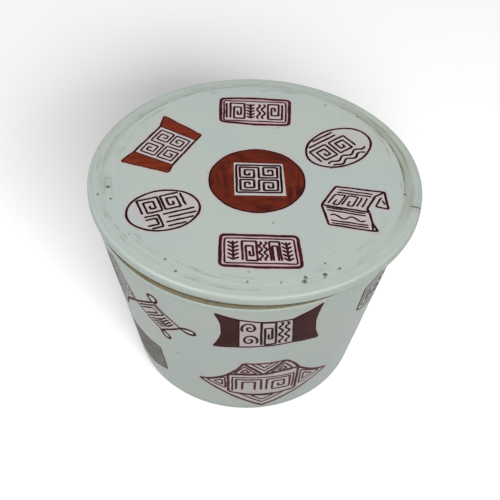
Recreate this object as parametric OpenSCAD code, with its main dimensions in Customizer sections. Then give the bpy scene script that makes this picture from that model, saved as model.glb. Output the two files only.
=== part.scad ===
/* [Box] */
// Outer radius of the box at its mouth
mouth_r = 41.7; // [38:0.1:44]
// Radius at which the straight wall would meet the table
base_r = 29.6; // [27:0.1:33]
// Height of the box without its lid
box_h = 55.8; // [48:0.1:66]
// Thickness of the wall, measured level
wall_t = 3.7; // [3:0.1:4.6]
// Radius of the round where the wall turns under the box
heel_round = 7.5; // [6:0.1:9]
// Thickness of the floor over the foot ring
floor_t = 5; // [4:0.1:7]
// Radius of the hollow round between the wall and the floor inside
inner_round = 8; // [5:0.1:10]
// Width of the chamfer along both edges of the bare rim
rim_chamfer = 0.6; // [0.2:0.05:1]

/* [Foot] */
// Width of the bare ring that the box stands on
foot_ring_w = 3.2; // [2:0.1:5]
// Depth of the glazed hollow inside the ring
foot_recess = 1.4; // [0.8:0.1:2]
// Level width of the slope between the ring and the hollow
foot_slope_w = 1.6; // [1:0.1:3]

/* [Lid] */
// Outer radius of the lid
lid_r = 45; // [44:0.1:46]
// Thickness of the lid at its edge
lid_edge_t = 3; // [2.4:0.1:4]
// Radius of the round along the upper edge of the lid
lip_round = 1; // [0.6:0.05:1.4]
// Radius of the round along the lower edge of the lid
lower_round = 0.7; // [0.4:0.05:0.9]
// Radius of the flat panel in the middle of the lid's top
panel_r = 40.2; // [39:0.1:41]
// Height of the panel over the edge of the lid
panel_rise = 0.4; // [0.2:0.05:0.6]
// Level width of the soft step round the panel
step_w = 0.8; // [0.5:0.1:1.2]
// How far the lid lies to the right of the box's centre
lid_shift_x = 1.03; // [-1.1:0.01:1.1]
// How far the lid lies behind the box's centre
lid_shift_y = 4.41; // [-4.5:0.01:4.5]

/* [Locating flange] */
// Outer radius of the ring under the lid, which keeps it on the box
flange_r = 31.2; // [28:0.1:31.4]
// Thickness of the ring where it leaves the lid
flange_t = 3.2; // [2.6:0.1:4]
// Height of the ring
flange_h = 5.2; // [4:0.1:5.6]
// How much narrower the ring is at its free edge than at the lid
flange_draft = 0.4; // [0.1:0.05:0.6]
// Radius of the hollow rounds at the foot of the ring
flange_cove = 1.2; // [0.8:0.1:1.5]

/* [Seal paste] */
// Radius of the cake at its widest
cake_r = 25; // [20:0.1:25.4]
// Height of the cake's widest place over the floor
cake_belly_h = 5.5; // [5:0.1:7]
// Height of the cake's crown over the floor
cake_h = 17; // [12:0.1:20]
// Radius of the flat that the cake rests on
cake_rest_r = 18; // [12:0.1:18.5]

/* [Hidden] */
// Straight pieces in each quarter turn of a rounded outline
ARC_STEPS = 10;
// Sides of each turned piece
TURN_SIDES = 128;
glaze_colour = [0.72, 0.76, 0.73];
lid_colour = [0.75, 0.78, 0.74];
paste_colour = [0.66, 0.10, 0.06];

// The wall leans out by this much for each millimetre of height
lean = (mouth_r - base_r) / box_h;
lean_angle = atan(lean);
// How far inwards a round's centre lies from the leaning line, level with it
lean_reach = 1 / cos(lean_angle);
// Radius of the circle where the heel's round meets the table
heel_centre_r = base_r + heel_round * (lean - lean_reach);
foot_inner_r = heel_centre_r - foot_ring_w;
inner_mouth_r = mouth_r - wall_t;
// Inside, the wall would meet the floor's level at this radius
inner_base_r = base_r - wall_t + lean * floor_t;
inner_centre_r = inner_base_r + inner_round * (lean - lean_reach);
lid_top = lid_edge_t + panel_rise;
// The turned outline of the ring's free edge is half a circle of this radius
flange_end_round = (flange_t - flange_draft) / 2;
flange_in_r = flange_r - flange_t;

// Points on an arc about a centre [r, z], from one angle to another
function arc_points(centre, radius, from, to) =
    [for (i = [0 : ARC_STEPS])
        let (turn = from + (to - from) * i / ARC_STEPS)
        centre + radius * [cos(turn), sin(turn)]];

// The box in section: up the outside from the foot ring, over the bare rim, down the inside to the floor
function box_outline() = concat(
    [[0, foot_recess], [foot_inner_r - foot_slope_w, foot_recess], [foot_inner_r, 0]],
    arc_points([heel_centre_r, heel_round], heel_round, -90, -lean_angle),
    [
        [mouth_r - lean * rim_chamfer, box_h - rim_chamfer],
        [mouth_r - rim_chamfer, box_h],
        [inner_mouth_r + rim_chamfer, box_h],
        [inner_mouth_r - lean * rim_chamfer, box_h - rim_chamfer]
    ],
    arc_points([inner_centre_r, floor_t + inner_round], inner_round, -lean_angle, -90),
    [[0, floor_t]]
);

// The lid in section about its own axis, with the box's rim at height zero
function lid_outline() = concat(
    [
        [0, 0]
    ],
    arc_points([flange_in_r - flange_cove, -flange_cove], flange_cove, 90, 0),
    arc_points(
        [flange_in_r + flange_end_round, -flange_h + flange_end_round], flange_end_round, 180, 360
    ),
    arc_points([flange_r + flange_cove, -flange_cove], flange_cove, 180, 90),
    arc_points([lid_r - lower_round, lower_round], lower_round, -90, 0),
    arc_points([lid_r - lip_round, lid_edge_t - lip_round], lip_round, 0, 78),
    [
        [panel_r + step_w, lid_edge_t + panel_rise / 4],
        [panel_r, lid_top],
        [0, lid_top]
    ]
);

// The cake in section: a flat underneath, a full belly and a low crown
function cake_outline() =
    let (belly_w = cake_r - cake_rest_r, crown_h = cake_h - cake_belly_h)
    concat(
        [[0, 0]],
        [for (i = [0 : ARC_STEPS])
            let (turn = 90 * i / ARC_STEPS)
            [cake_rest_r + belly_w * sin(turn), cake_belly_h * (1 - cos(turn))]],
        [for (i = [1 : 2 * ARC_STEPS])
            let (turn = 90 * i / (2 * ARC_STEPS))
            [cake_r * cos(turn), cake_belly_h + crown_h * pow(sin(turn), 0.8)]]
    );

module turned(outline) {
    rotate_extrude($fn = TURN_SIDES) polygon(outline);
}

module box_body() {
    color(glaze_colour) turned(box_outline());
}

module lid() {
    color(lid_colour) translate([lid_shift_x, lid_shift_y, box_h]) turned(lid_outline());
}

module seal_paste() {
    color(paste_colour) translate([0, 0, floor_t]) turned(cake_outline());
}

box_body();
lid();
seal_paste();
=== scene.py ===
# %% [markdown]
# # A porcelain box for seal paste
# The real object is a small turned porcelain box with a loose, flat lid. A painter has covered both with
# little seal-shaped panels in iron red and dark brown-red enamel. Inside lies a cake of red seal paste.
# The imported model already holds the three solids. This lesson gives them their looks: glaze, bare clay,
# painted enamel that stands a hair above the glaze, and a kneaded, oily cake.
# Everything is worked out in millimetres and written to the meshes in metres.

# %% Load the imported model
import math
import bpy
import numpy as np
from mathutils import Matrix, Vector


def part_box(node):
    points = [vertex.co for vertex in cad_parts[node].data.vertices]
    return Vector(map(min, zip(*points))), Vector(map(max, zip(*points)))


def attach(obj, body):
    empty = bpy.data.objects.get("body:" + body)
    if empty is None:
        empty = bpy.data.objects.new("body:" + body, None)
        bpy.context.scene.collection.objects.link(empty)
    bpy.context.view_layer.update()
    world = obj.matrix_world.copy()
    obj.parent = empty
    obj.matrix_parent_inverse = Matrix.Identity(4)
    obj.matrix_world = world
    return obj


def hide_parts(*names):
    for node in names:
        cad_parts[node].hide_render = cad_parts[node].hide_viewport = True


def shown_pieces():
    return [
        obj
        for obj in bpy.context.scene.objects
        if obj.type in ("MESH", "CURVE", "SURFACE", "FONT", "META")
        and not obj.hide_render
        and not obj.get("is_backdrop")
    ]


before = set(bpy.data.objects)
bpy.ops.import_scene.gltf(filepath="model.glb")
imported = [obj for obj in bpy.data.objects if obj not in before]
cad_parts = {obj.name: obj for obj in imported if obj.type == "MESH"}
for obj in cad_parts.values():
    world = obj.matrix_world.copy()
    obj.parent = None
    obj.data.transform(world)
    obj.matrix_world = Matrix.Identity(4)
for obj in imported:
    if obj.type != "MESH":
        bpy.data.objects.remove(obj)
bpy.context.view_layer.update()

MM = 0.001

# %% [markdown]
# ## The measures that everything shares
# A surface that is laid over a solid has to know its sizes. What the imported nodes' boxes can tell is read
# from them, and the rest repeats the numbers of the turned outlines.

# %% Measures in millimetres
_, box_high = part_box("box_body")
lid_low, lid_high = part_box("lid")
paste_low, paste_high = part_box("seal_paste")
MOUTH_R = 41.7
BASE_R = 29.6
BOX_H = box_high.z / MM
WALL_T = 3.7
HEEL_ROUND = 7.5
FLOOR_T = paste_low.z / MM
INNER_ROUND = 8.0
RIM_CHAMFER = 0.6
FOOT_RING_W = 3.2
FOOT_RECESS = 1.4
FOOT_SLOPE_W = 1.6
LID_X = (lid_low.x + lid_high.x) / 2 / MM
LID_Y = (lid_low.y + lid_high.y) / 2 / MM
LID_R = (lid_high.x - lid_low.x) / 2 / MM
LID_TOP = lid_high.z / MM
LID_EDGE_T = 3.0
LIP_ROUND = 1.0
LOWER_ROUND = 0.7
PANEL_R = 40.2
PANEL_RISE = LID_TOP - BOX_H - LID_EDGE_T
STEP_W = 0.8
FLANGE_R = 31.2
FLANGE_T = 3.2
FLANGE_H = 5.2
FLANGE_DRAFT = 0.4
FLANGE_COVE = 1.2
LEAN = (MOUTH_R - BASE_R) / BOX_H
LEAN_DEG = math.degrees(math.atan(LEAN))
REACH = 1 / math.cos(math.radians(LEAN_DEG))
print("lid centre", round(LID_X, 2), round(LID_Y, 2), "radius", round(LID_R, 2), "top", round(LID_TOP, 2))
print("the wall leans out", round(LEAN_DEG, 2), "degrees")

# %% [markdown]
# ## The camera
# The photograph looks down on the lid from in front. Its lens and place were worked out from the ellipse
# of the lid and the taper of the wall, so the camera gets a matrix of its own: one axis to the right, one
# up, and one back towards the viewer, all three turned a little about the line of sight.

# %% Camera
LENS_MM = 92.85
FILM_MM = 36
NEAREST = 0.01
CAMERA_AT = (0.00103, -0.25901, 0.28544)
CAMERA_ELEVATION = math.radians(43.915)
CAMERA_SWING = math.radians(-0.1145)
CAMERA_ROLL = math.radians(-2.6228)
camera = bpy.data.objects.new("camera", bpy.data.cameras.new("camera"))
bpy.context.scene.collection.objects.link(camera)
camera.data.lens = LENS_MM
camera.data.sensor_width = FILM_MM
camera.data.clip_start = NEAREST
back = Vector((
    -math.sin(CAMERA_SWING) * math.cos(CAMERA_ELEVATION),
    -math.cos(CAMERA_SWING) * math.cos(CAMERA_ELEVATION),
    math.sin(CAMERA_ELEVATION),
))
level = Vector((math.cos(CAMERA_SWING), -math.sin(CAMERA_SWING), 0))
steep = back.cross(level)
across = level * math.cos(CAMERA_ROLL) - steep * math.sin(CAMERA_ROLL)
up = level * math.sin(CAMERA_ROLL) + steep * math.cos(CAMERA_ROLL)
axes = Matrix((across, up, back)).transposed()
camera.matrix_world = Matrix.Translation(CAMERA_AT) @ axes.to_4x4()
bpy.context.scene.camera = camera
print("camera looks down", round(math.degrees(CAMERA_ELEVATION), 1), "degrees through", LENS_MM, "mm")

# %% [markdown]
# ## Shader maths that reads like maths
# A material is a graph of nodes. To write `1 - mask` instead of wiring a Math node by hand, a small class
# wraps one socket and overloads the operators. Any other node comes from one method, `add`.

# %% Sockets as values
class Value:
    """One output socket of a shader tree. An expression on it adds Math nodes to that tree."""

    def __init__(self, shader, socket):
        self.shader = shader
        self.socket = socket

    def math(self, operation, *others, clamp=False):
        """A Math node of this value and the others."""
        values = {0: self}
        values.update({place + 1: other for place, other in enumerate(others)})
        return self.shader.add("Math", {"operation": operation, "use_clamp": clamp}, values)

    def __add__(self, other):
        return self.math("ADD", other)

    __radd__ = __add__

    def __mul__(self, other):
        return self.math("MULTIPLY", other)

    __rmul__ = __mul__

    def __sub__(self, other):
        return self.math("SUBTRACT", other)

    def __rsub__(self, other):
        return self.shader.add("Math", {"operation": "SUBTRACT"}, {0: other, 1: self})

    def __pow__(self, other):
        return self.math("POWER", other)

    def most(self, other):
        """The greater of the two."""
        return self.math("MAXIMUM", other)

    def rise(self, low, high):
        """0 at low and 1 at high, with a soft S between them; it falls where low is over high."""
        sockets = {"Value": self, "From Min": low, "From Max": high}
        return self.shader.add("MapRange", {"interpolation_type": "SMOOTHSTEP"}, sockets)


print("a Value adds its Math nodes to the tree that it came from")

# %% [markdown]
# The second class is the tree itself. It is emptied first, and each of its methods adds one kind of node
# that the glaze, the enamels or the paste use more than once.

# %% A tree and its nodes
class Shader:
    """The emptied tree of a material or a world, and the few methods that fill it."""

    def __init__(self, name, owner=None):
        self.owner = owner or bpy.data.materials.new(name)
        self.owner.use_nodes = True
        self.tree = self.owner.node_tree
        self.tree.nodes.clear()

    def add(self, kind, settings=None, values=None, output=0):
        """A node of that kind, its settings first and then its sockets' values or links."""
        node = self.tree.nodes.new("ShaderNode" + kind)
        for name, setting in (settings or {}).items():
            setattr(node, name, setting)
        for name, value in (values or {}).items():
            if isinstance(value, Value):
                self.tree.links.new(value.socket, node.inputs[name])
            else:
                node.inputs[name].default_value = value
        return Value(self, node.outputs[output]) if node.outputs else None

    def here(self):
        """Object coordinates in millimetres."""
        place = self.add("TexCoord", output="Object")
        return self.add("VectorMath", {"operation": "SCALE"}, {0: place, 3: 1 / MM})

    def stretched(self, vector, scale, turn=(0, 0, 0)):
        """Places scaled and then turned, so that a pattern on them is drawn out along an axis."""
        return self.add("Mapping", values={"Vector": vector, "Scale": scale, "Rotation": turn})

    def part(self, vector, axis):
        """One coordinate of a vector."""
        return self.add("SeparateXYZ", values={0: vector}, output=axis)

    def noise(self, vector, scale, detail=2.0, roughness=0.5, distortion=0.0):
        """Clouds of about 0.25 to 0.75, one over scale across, with finer ones laid over them."""
        values = {
            "Vector": vector,
            "Scale": scale,
            "Detail": detail,
            "Roughness": roughness,
            "Distortion": distortion,
        }
        return self.add("TexNoise", values=values)

    def layer(self, name):
        """A number that the mesh keeps for each vertex."""
        return self.add("Attribute", {"attribute_name": name}, output="Fac")

    def mix(self, share, first, second):
        """The first colour where share is 0 and the second where it is 1."""
        return self.add("Mix", {"data_type": "RGBA"}, {0: share, 6: first, 7: second}, 2)

    def apart(self, first, second):
        """The distance between two vectors."""
        return self.add("VectorMath", {"operation": "DISTANCE"}, {0: first, 1: second}, "Value")

    def bump(self, height, strength, distance_mm):
        """The normal of a surface that stands up by the distance where height is 1."""
        values = {"Height": height, "Strength": strength, "Distance": distance_mm * MM}
        return self.add("Bump", values=values)

    def finish(self, **sockets):
        """The Principled surface, with sockets named by words joined with an underscore."""
        values = {name.replace("_", " "): value for name, value in sockets.items()}
        surface = self.add("BsdfPrincipled", values=values)
        self.add("OutputMaterial", values={"Surface": surface})
        return self.owner


def rgb(red, green, blue):
    """A screen colour of 0 to 255 as the linear colour that a socket holds."""
    channels = np.array((red, green, blue)) / 255
    linear = np.where(channels <= 0.04045, channels / 12.92, ((channels + 0.055) / 1.055) ** 2.4)
    return (*[float(c) for c in linear], 1.0)


print("mid grey as a linear colour:", round(rgb(128, 128, 128)[0], 3))

# %% [markdown]
# ## The table
# The photograph shows a white ground with one soft shadow behind and to the left. A white table under
# plain light would throw much of it up against the wall of the box and pale its paint. So the table
# returns less light to the porcelain than the camera sees on it: Light Path tells the two kinds of rays
# apart. A reflection shows the table at half of what the camera sees.

# %% Table
TABLE_HALF = 4.0
TABLE_BOUNCE = 0.19
TABLE_SEEN = 0.21
SEEN_EXTRA = 0.34
MIRRORED = 0.50
WHITE = (1.0, 1.0, 1.0, 1.0)


def grey(share):
    """A colour whose three channels are that share of white."""
    return (share, share, share, 1.0)


def seen(shader, mirrored=1.0):
    """1 for the camera and through glass, and the share mirrored for rays that carry a reflection."""
    kinds = ("Is Camera Ray", "Is Transmission Ray", "Is Glossy Ray")
    first, second, third = [shader.add("LightPath", output=kind) for kind in kinds]
    return first.most(second).most(third * mirrored)


table = Shader("white_table")
shown = seen(table, MIRRORED)
gloss = table.add("LightPath", output="Is Glossy Ray")
white = table.mix(shown, grey(TABLE_BOUNCE), grey(TABLE_SEEN))
white = table.mix(gloss, white, grey(TABLE_SEEN * MIRRORED))
matt = table.add("BsdfDiffuse", values={"Color": white})
glow = table.add("Emission", values={"Color": WHITE, "Strength": shown * SEEN_EXTRA})
table.add("OutputMaterial", values={"Surface": table.add("AddShader", values={0: matt, 1: glow})})
top = bpy.data.meshes.new("table_top")
corners = [(-TABLE_HALF, -TABLE_HALF, 0), (TABLE_HALF, -TABLE_HALF, 0)]
corners += [(TABLE_HALF, TABLE_HALF, 0), (-TABLE_HALF, TABLE_HALF, 0)]
top.from_pydata(corners, [], [(0, 1, 2, 3)])
top.materials.append(table.owner)
table_top = bpy.data.objects.new("table_top", top)
bpy.context.scene.collection.objects.link(table_top)
table_top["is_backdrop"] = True
print("table:", 2 * TABLE_HALF, "m across, returning", TABLE_BOUNCE, "and shown as", TABLE_SEEN + SEEN_EXTRA)

# %% [markdown]
# ## The sky
# Soft light comes from all of the sky and most from overhead. The glossy lid would mirror the bright sky
# behind it and wash out the deep enamels, so the sky has a dim patch there, as a photographer hangs up a
# dark cloth. The camera sees a sky that is plain white beside that patch.

# %% Sky
SKY_LOW = 0.15
SKY_OVERHEAD = 1.46
CLOTH_TOWARDS = (0.0, 0.72, 0.69)
CLOTH_EDGE, CLOTH_HEART = 0.66, 0.90
CLOTH_DARK = 0.9
sky = Shader("sky", bpy.data.worlds.new("sky"))
bpy.context.scene.world = sky.owner
looks = sky.add("TexCoord", output="Generated")
towards = sky.add("VectorMath", {"operation": "DOT_PRODUCT"}, {0: looks, 1: CLOTH_TOWARDS}, "Value")
cloth = towards.rise(CLOTH_EDGE, CLOTH_HEART) * CLOTH_DARK
rising = sky.part(looks, 2).math("MAXIMUM", 0.0)
overcast = SKY_LOW + SKY_OVERHEAD * rising * rising
strength = (overcast + seen(sky) * (1 - overcast)) * (1 - cloth)
surface = sky.add("Background", values={"Color": WHITE, "Strength": strength})
sky.add("OutputWorld", values={"Surface": surface})
print("sky:", SKY_LOW, "at the skyline and", round(SKY_LOW + SKY_OVERHEAD, 2), "overhead")

# %% [markdown]
# ## The lamps
# The lid's rim has two long highlights, at the left and at the right, so a long narrow lamp hangs half way
# up on each side and lights the porcelain alone. A strong one in front lights the table alone: the box
# throws its shadow there and isn't lit by it. Light linking says which lamp reaches what.

# %% Lamps
LAMP_AWAY = 1.3
for_table = bpy.data.collections.new("for_table")
for_table.objects.link(table_top)
for_porcelain = bpy.data.collections.new("for_porcelain")
for_porcelain.objects.link(table_top)
for_porcelain.collection_objects[0].light_linking.link_state = "EXCLUDE"


def softbox(name, azimuth, elevation, power, wide, high, receivers):
    """A flat lamp turned to the box, at an azimuth from the front to the right and an elevation."""
    around, rise = math.radians(azimuth), math.radians(elevation)
    way = Vector((math.cos(rise) * math.sin(around), -math.cos(rise) * math.cos(around), math.sin(rise)))
    lamp = bpy.data.lights.new(name, "AREA")
    lamp.shape = "RECTANGLE"
    lamp.size = wide
    lamp.size_y = high
    lamp.energy = power
    holder = bpy.data.objects.new(name, lamp)
    bpy.context.scene.collection.objects.link(holder)
    spin = (-way).to_track_quat("-Z", "Y").to_matrix().to_4x4()
    holder.matrix_world = Matrix.Translation(way * LAMP_AWAY) @ spin
    holder.light_linking.receiver_collection = receivers


softbox("table_lamp", azimuth=14, elevation=32, power=102, wide=0.80, high=0.35, receivers=for_table)
softbox("right_lamp", azimuth=44, elevation=46, power=5.0, wide=1.10, high=0.17, receivers=for_porcelain)
softbox("left_lamp", azimuth=-54, elevation=45, power=5.6, wide=0.75, high=0.15, receivers=for_porcelain)
bpy.context.scene.view_settings.view_transform = "Standard"

# %% [markdown]
# ## Turned surfaces
# The box, its lid and the cake are all round. Each is a turned surface: a profile of radius and height,
# carried once around an axis. The profile starts and ends on the axis, so the skin is closed by itself,
# and one vertex closes each pole.

# %% Profiles and meshes
def arc(centre, radius, start, end, steps=14):
    """Centre plus radius times the cosine and sine of an angle that runs from start to end."""
    angle = np.radians(np.linspace(start, end, steps))
    return np.column_stack((centre[0] + radius * np.cos(angle), centre[1] + radius * np.sin(angle)))


def dense(points, step):
    """Every straight piece of a line is cut into equal parts that are no longer than step."""
    points = np.asarray(points, float)
    lengths = np.linalg.norm(np.diff(points, axis=0), axis=1)
    counts = np.maximum(1, np.ceil(lengths / step)).astype(int)
    places = [start + np.arange(count) / count for start, count in enumerate(counts)]
    places = np.concatenate(places + [[len(lengths)]])
    knots = np.arange(len(points))
    return np.column_stack([np.interp(places, knots, column) for column in points.T])


def softened(points, passes):
    """Each inner point moves to the mean of itself and its neighbours, weighted 1, 2, 1, some times over."""
    points = points.copy()
    for _ in range(passes):
        points[1:-1] = (points[:-2] + 2 * points[1:-1] + points[2:]) / 4
    return points


def turned(profile, sides, centre, wander):
    """x and y are the centre plus the radius times cosine and sine, and z is the profile's height. wander
    says by what share of itself the radius grows at an angle and a height. Gives points, quads, triangles,
    and each point's row in the profile."""
    rows = len(profile) - 2
    angle = np.arange(sides) * 2 * np.pi / sides
    radius = profile[1:-1, :1]
    height = profile[1:-1, 1:]
    radius = radius * (1 + wander(angle[None, :], height))
    x = centre[0] + radius * np.cos(angle)
    y = centre[1] + radius * np.sin(angle)
    z = np.broadcast_to(height, x.shape)
    grid = np.stack((x, y, z), -1).reshape(-1, 3)
    poles = np.array([(*centre, profile[0, 1]), (*centre, profile[-1, 1])])
    points = np.vstack((grid, poles))
    first = np.arange(rows * sides).reshape(rows, sides)
    after = np.roll(first, -1, axis=1)
    quads = np.stack((first[:-1], after[:-1], after[1:], first[1:]), -1).reshape(-1, 4)
    bottom = np.full(sides, rows * sides)
    low_fan = np.column_stack((bottom, after[0], first[0]))
    high_fan = np.column_stack((first[-1], after[-1], bottom + 1))
    row_of = np.concatenate((np.repeat(np.arange(rows) + 1, sides), [0, rows + 1]))
    return points, quads, np.vstack((low_fan, high_fan)), row_of


print("a quarter arc of radius 1 ends at", np.round(arc((0, 0), 1, 0, 90)[-1], 3))

# %% [markdown]
# A mesh in Blender takes its points and faces at once. It then gets a material and rides on a body of the
# imported model.

# %% A named piece
def new_piece(name, points, faces, body, material, layers=None, uv=None):
    """A named mesh from points in millimetres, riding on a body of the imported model. layers are numbers for
    each point, and uv is a place on the drawing for each point."""
    mesh = bpy.data.meshes.new(name)
    listed = [corner for block in faces for corner in block.tolist()]
    mesh.from_pydata((np.asarray(points) * MM).tolist(), [], listed)
    mesh.polygons.foreach_set("use_smooth", np.ones(len(mesh.polygons), bool))
    for layer, values in (layers or {}).items():
        attribute = mesh.attributes.new(layer, "FLOAT", "POINT")
        attribute.data.foreach_set("value", np.asarray(values, np.float32))
    if uv is not None:
        corner_of = np.zeros(len(mesh.loops), int)
        mesh.loops.foreach_get("vertex_index", corner_of)
        mesh.uv_layers.new(name="brush").data.foreach_set("uv", uv[corner_of].ravel())
    mesh.materials.append(material)
    mesh.update()
    piece = bpy.data.objects.new(name, mesh)
    bpy.context.scene.collection.objects.link(piece)
    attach(piece, body)
    return piece


print("points are in millimetres, and a metre has", round(1 / MM))

# %% [markdown]
# ## Where paint can lie
# Painted panels follow the surface under them. Two small functions take a place on a flat drawing, in
# millimetres, and a height over the glaze, and give the point in space and the direction that stands up
# from it: one for the lid's flat top, and one that wraps the drawing round the leaning wall. Hand-turned
# walls are never quite round, so the wall's radius wanders by a few hundredths, and the paint with it.

# %% Drawing to surface
def wander(angle, height):
    """A sum of slow waves round the pot, and of fine turning rings up it, as a share of the radius."""
    slow = 0.0016 * np.sin(2 * angle + 0.7) + 0.0010 * np.sin(3 * angle + 2.1 + 0.02 * height)
    rings = 0.00022 * np.sin(1.35 * height + 0.6 * np.sin(angle)) + 0.00014 * np.sin(3.1 * height + 1.0)
    return slow + rings


def lid_wander(angle, height):
    """Slow waves round the lid, as a share of the radius."""
    return 0.0011 * np.sin(2 * angle + 2.6) + 0.0007 * np.sin(5 * angle + 0.4) + 0 * height


def on_lid(drawing, lift):
    """x and y are the lid's centre plus the drawing's, and z is its top plus the lift."""
    u, v = np.asarray(drawing).T
    points = np.stack((LID_X + u, LID_Y + v, LID_TOP + lift + 0 * u), -1)
    return points, np.broadcast_to((0.0, 0.0, 1.0), points.shape)


def on_wall(azimuth, height):
    """A function that wraps a drawing round the wall, centred at that azimuth in degrees and height."""
    radius_here = BASE_R + LEAN * height

    def wrap(drawing, lift):
        """The azimuth grows by u over the radius, and the height by v along the slope."""
        u, v = np.asarray(drawing).T
        turned_by = np.radians(azimuth) + u / radius_here
        z = height + v / REACH
        angle = turned_by - np.pi / 2
        radius = (BASE_R + LEAN * z) * (1 + wander(angle, z))
        out = np.stack((np.sin(turned_by) / REACH, -np.cos(turned_by) / REACH, -LEAN / REACH + 0 * u), -1)
        points = np.stack((radius * np.sin(turned_by), -radius * np.cos(turned_by), z), -1)
        return points + out * np.reshape(lift, (-1, 1)), out

    return wrap


def from_wall(azimuth, height, points):
    """The drawing's places, in millimetres, of points on the wall: the way back of on_wall."""
    around = np.arctan2(points[:, 0], -points[:, 1]) - np.radians(azimuth)
    around = (around + np.pi) % (2 * np.pi) - np.pi
    return np.stack((around * (BASE_R + LEAN * height), (points[:, 2] - height) * REACH), -1)


print("wall radius half way up:", round(BASE_R + LEAN * BOX_H / 2, 2))

# %% [markdown]
# ## A brush line
# Enamel is thick paint: a line is a low, rounded bead that starts and ends round, swells and thins a
# little, and is never quite straight. First comes the way that the hand takes along a drawn line.

# %% Strokes
random = np.random.default_rng(7)
BEAD_STEP = 0.26
END_ROWS = np.array((0.0, 0.04, 0.13))
END_CLEAR = 0.2
BEAT_MM = 9
DRIFTS = (0.035, 0.01)
SWELLS = (0.07, 0.03)


def stroke(path, closed):
    """The line at even steps with its corners softened, and how far along it each point lies. Where the
    line is open, the points at its ends lie closer."""
    path = np.asarray(path, float)
    if closed:
        path = dense(np.vstack((path, path[:1])), BEAD_STEP)[:-1]
        for _ in range(2):
            path = (np.roll(path, 1, 0) + 2 * path + np.roll(path, -1, 0)) / 4
    else:
        path = softened(dense(path, BEAD_STEP), 2)
    steps = np.linalg.norm(np.diff(path, axis=0), axis=1)
    along = np.concatenate(([0], np.cumsum(steps)))
    if closed:
        return path, along
    whole = along[-1]
    inner = along[(along > END_CLEAR) & (along < whole - END_CLEAR)]
    places = np.concatenate((END_ROWS, inner, whole - END_ROWS[::-1]))
    return np.column_stack([np.interp(places, along, column) for column in path.T]), places


def unsteady(along, closed):
    """How far the hand drifts aside and by what factor the line swells: each is a slow sine and one three
    times as quick. Whole beats fit on the line, so that a closed one meets itself."""
    phase = random.uniform(0, 2 * np.pi, 4)
    around = along[-1] + (BEAD_STEP if closed else 0)
    slow = 2 * np.pi * np.round(along[-1] / BEAT_MM + 1) / around * along
    drift = DRIFTS[0] * np.sin(slow + phase[0]) + DRIFTS[1] * np.sin(3 * slow + phase[1])
    swell = 1 + SWELLS[0] * np.sin(slow + phase[2]) + SWELLS[1] * np.sin(3 * slow + phase[3])
    return drift, swell


print("points on an open stroke of 2 mm:", len(stroke([(0, 0), (2, 0)], False)[0]))

# %% [markdown]
# The paint itself is a small arched section carried along the stroke. The arch is a few hundredths of a
# millimetre high, and its foot is sunk a hair into the glaze.

# %% Bead
BEAD_ARCH = 6
BEAD_HEIGHT = 0.055
BEAD_SUNK = 0.02
ARCH_POWER = 0.8


def ahead_of(points, closed):
    """At each point the way from the one before to the one after, divided by its length."""
    ahead = np.roll(points, -1, 0) - np.roll(points, 1, 0) if closed else np.gradient(points, axis=0)
    return ahead / np.maximum(np.linalg.norm(ahead, axis=1, keepdims=True), 1e-9)


def bead_faces(count, closed):
    """Quads from each ring to the one after it. An open bead has a fan of triangles at both its ends."""
    index = np.arange(count * BEAD_ARCH).reshape(count, BEAD_ARCH)
    nearby = np.roll(index, -1, axis=1)
    quads = np.stack((index, np.roll(index, -1, axis=0), np.roll(nearby, -1, axis=0), nearby), -1)
    if closed:
        return [quads.reshape(-1, 4)]
    start = np.full(BEAD_ARCH, count * BEAD_ARCH)
    first_fan = np.column_stack((start, index[0], nearby[0]))
    last_fan = np.column_stack((start + 1, nearby[-1], index[-1]))
    return [quads[:-1].reshape(-1, 4), first_fan, last_fan]


def bead(path, closed, width, place):
    """Along the stroke go rings of an arch: sideways it is half the width times a cosine, and upwards the
    bead's height times a sine. At an open end the width falls to nothing in a quarter circle, and the
    ring there is a single point. Gives the points, the faces, and how near the edge each point is."""
    path, along = stroke(path, closed)
    drift, swell = unsteady(along, closed)
    if closed:
        end = np.ones(len(path))
    else:
        reach = np.minimum(along, along[-1] - along) / (width / 2)
        end = np.sqrt(np.clip(1 - (1 - np.minimum(reach, 1)) ** 2, 0, 1))
    ahead = ahead_of(path, closed)
    path = path + np.column_stack((ahead[:, 1], -ahead[:, 0])) * drift[:, None]
    points, out = place(path, np.zeros(len(path)))
    side = np.cross(ahead_of(points, closed), out)
    arch = np.linspace(0, np.pi, BEAD_ARCH)
    sideways = (width / 2 * swell * end)[:, None] * np.cos(arch)
    upwards = BEAD_HEIGHT * np.sqrt(end)[:, None] * np.sin(arch) ** ARCH_POWER - BEAD_SUNK
    rings = points[:, None] + side[:, None] * sideways[..., None] + out[:, None] * upwards[..., None]
    edge = np.broadcast_to(np.abs(np.cos(arch)), rings.shape[:2])
    if closed:
        return rings.reshape(-1, 3), bead_faces(len(rings), True), edge.ravel()
    points = np.vstack((rings[1:-1].reshape(-1, 3), points[:1], points[-1:]))
    return points, bead_faces(len(rings) - 2, False), np.concatenate((edge[1:-1].ravel(), [0.5, 0.5]))


print("a bead stands", round(BEAD_HEIGHT - BEAD_SUNK, 3), "mm high, with a ring every", BEAD_STEP, "mm")

# %% [markdown]
# A panel is one piece of many such lines, so their meshes are put together as one.

# %% Meshes as one
def joined(parts):
    """Several meshes as one: their points in a row, and their faces counted on."""
    points, faces, values, start = [], {3: [], 4: []}, [], 0
    for part_points, part_faces, part_values in parts:
        points.append(part_points)
        values.append(part_values)
        for block in part_faces:
            faces[block.shape[1]].append(block + start)
        start += len(part_points)
    blocks = [np.vstack(found) for found in faces.values() if found]
    return np.vstack(points), blocks, np.concatenate(values)


triangle = (np.eye(3), [np.array([[0, 1, 2]])], np.zeros(3))
print("two triangles as one mesh:", joined([triangle, triangle])[1][0].tolist())

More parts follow.
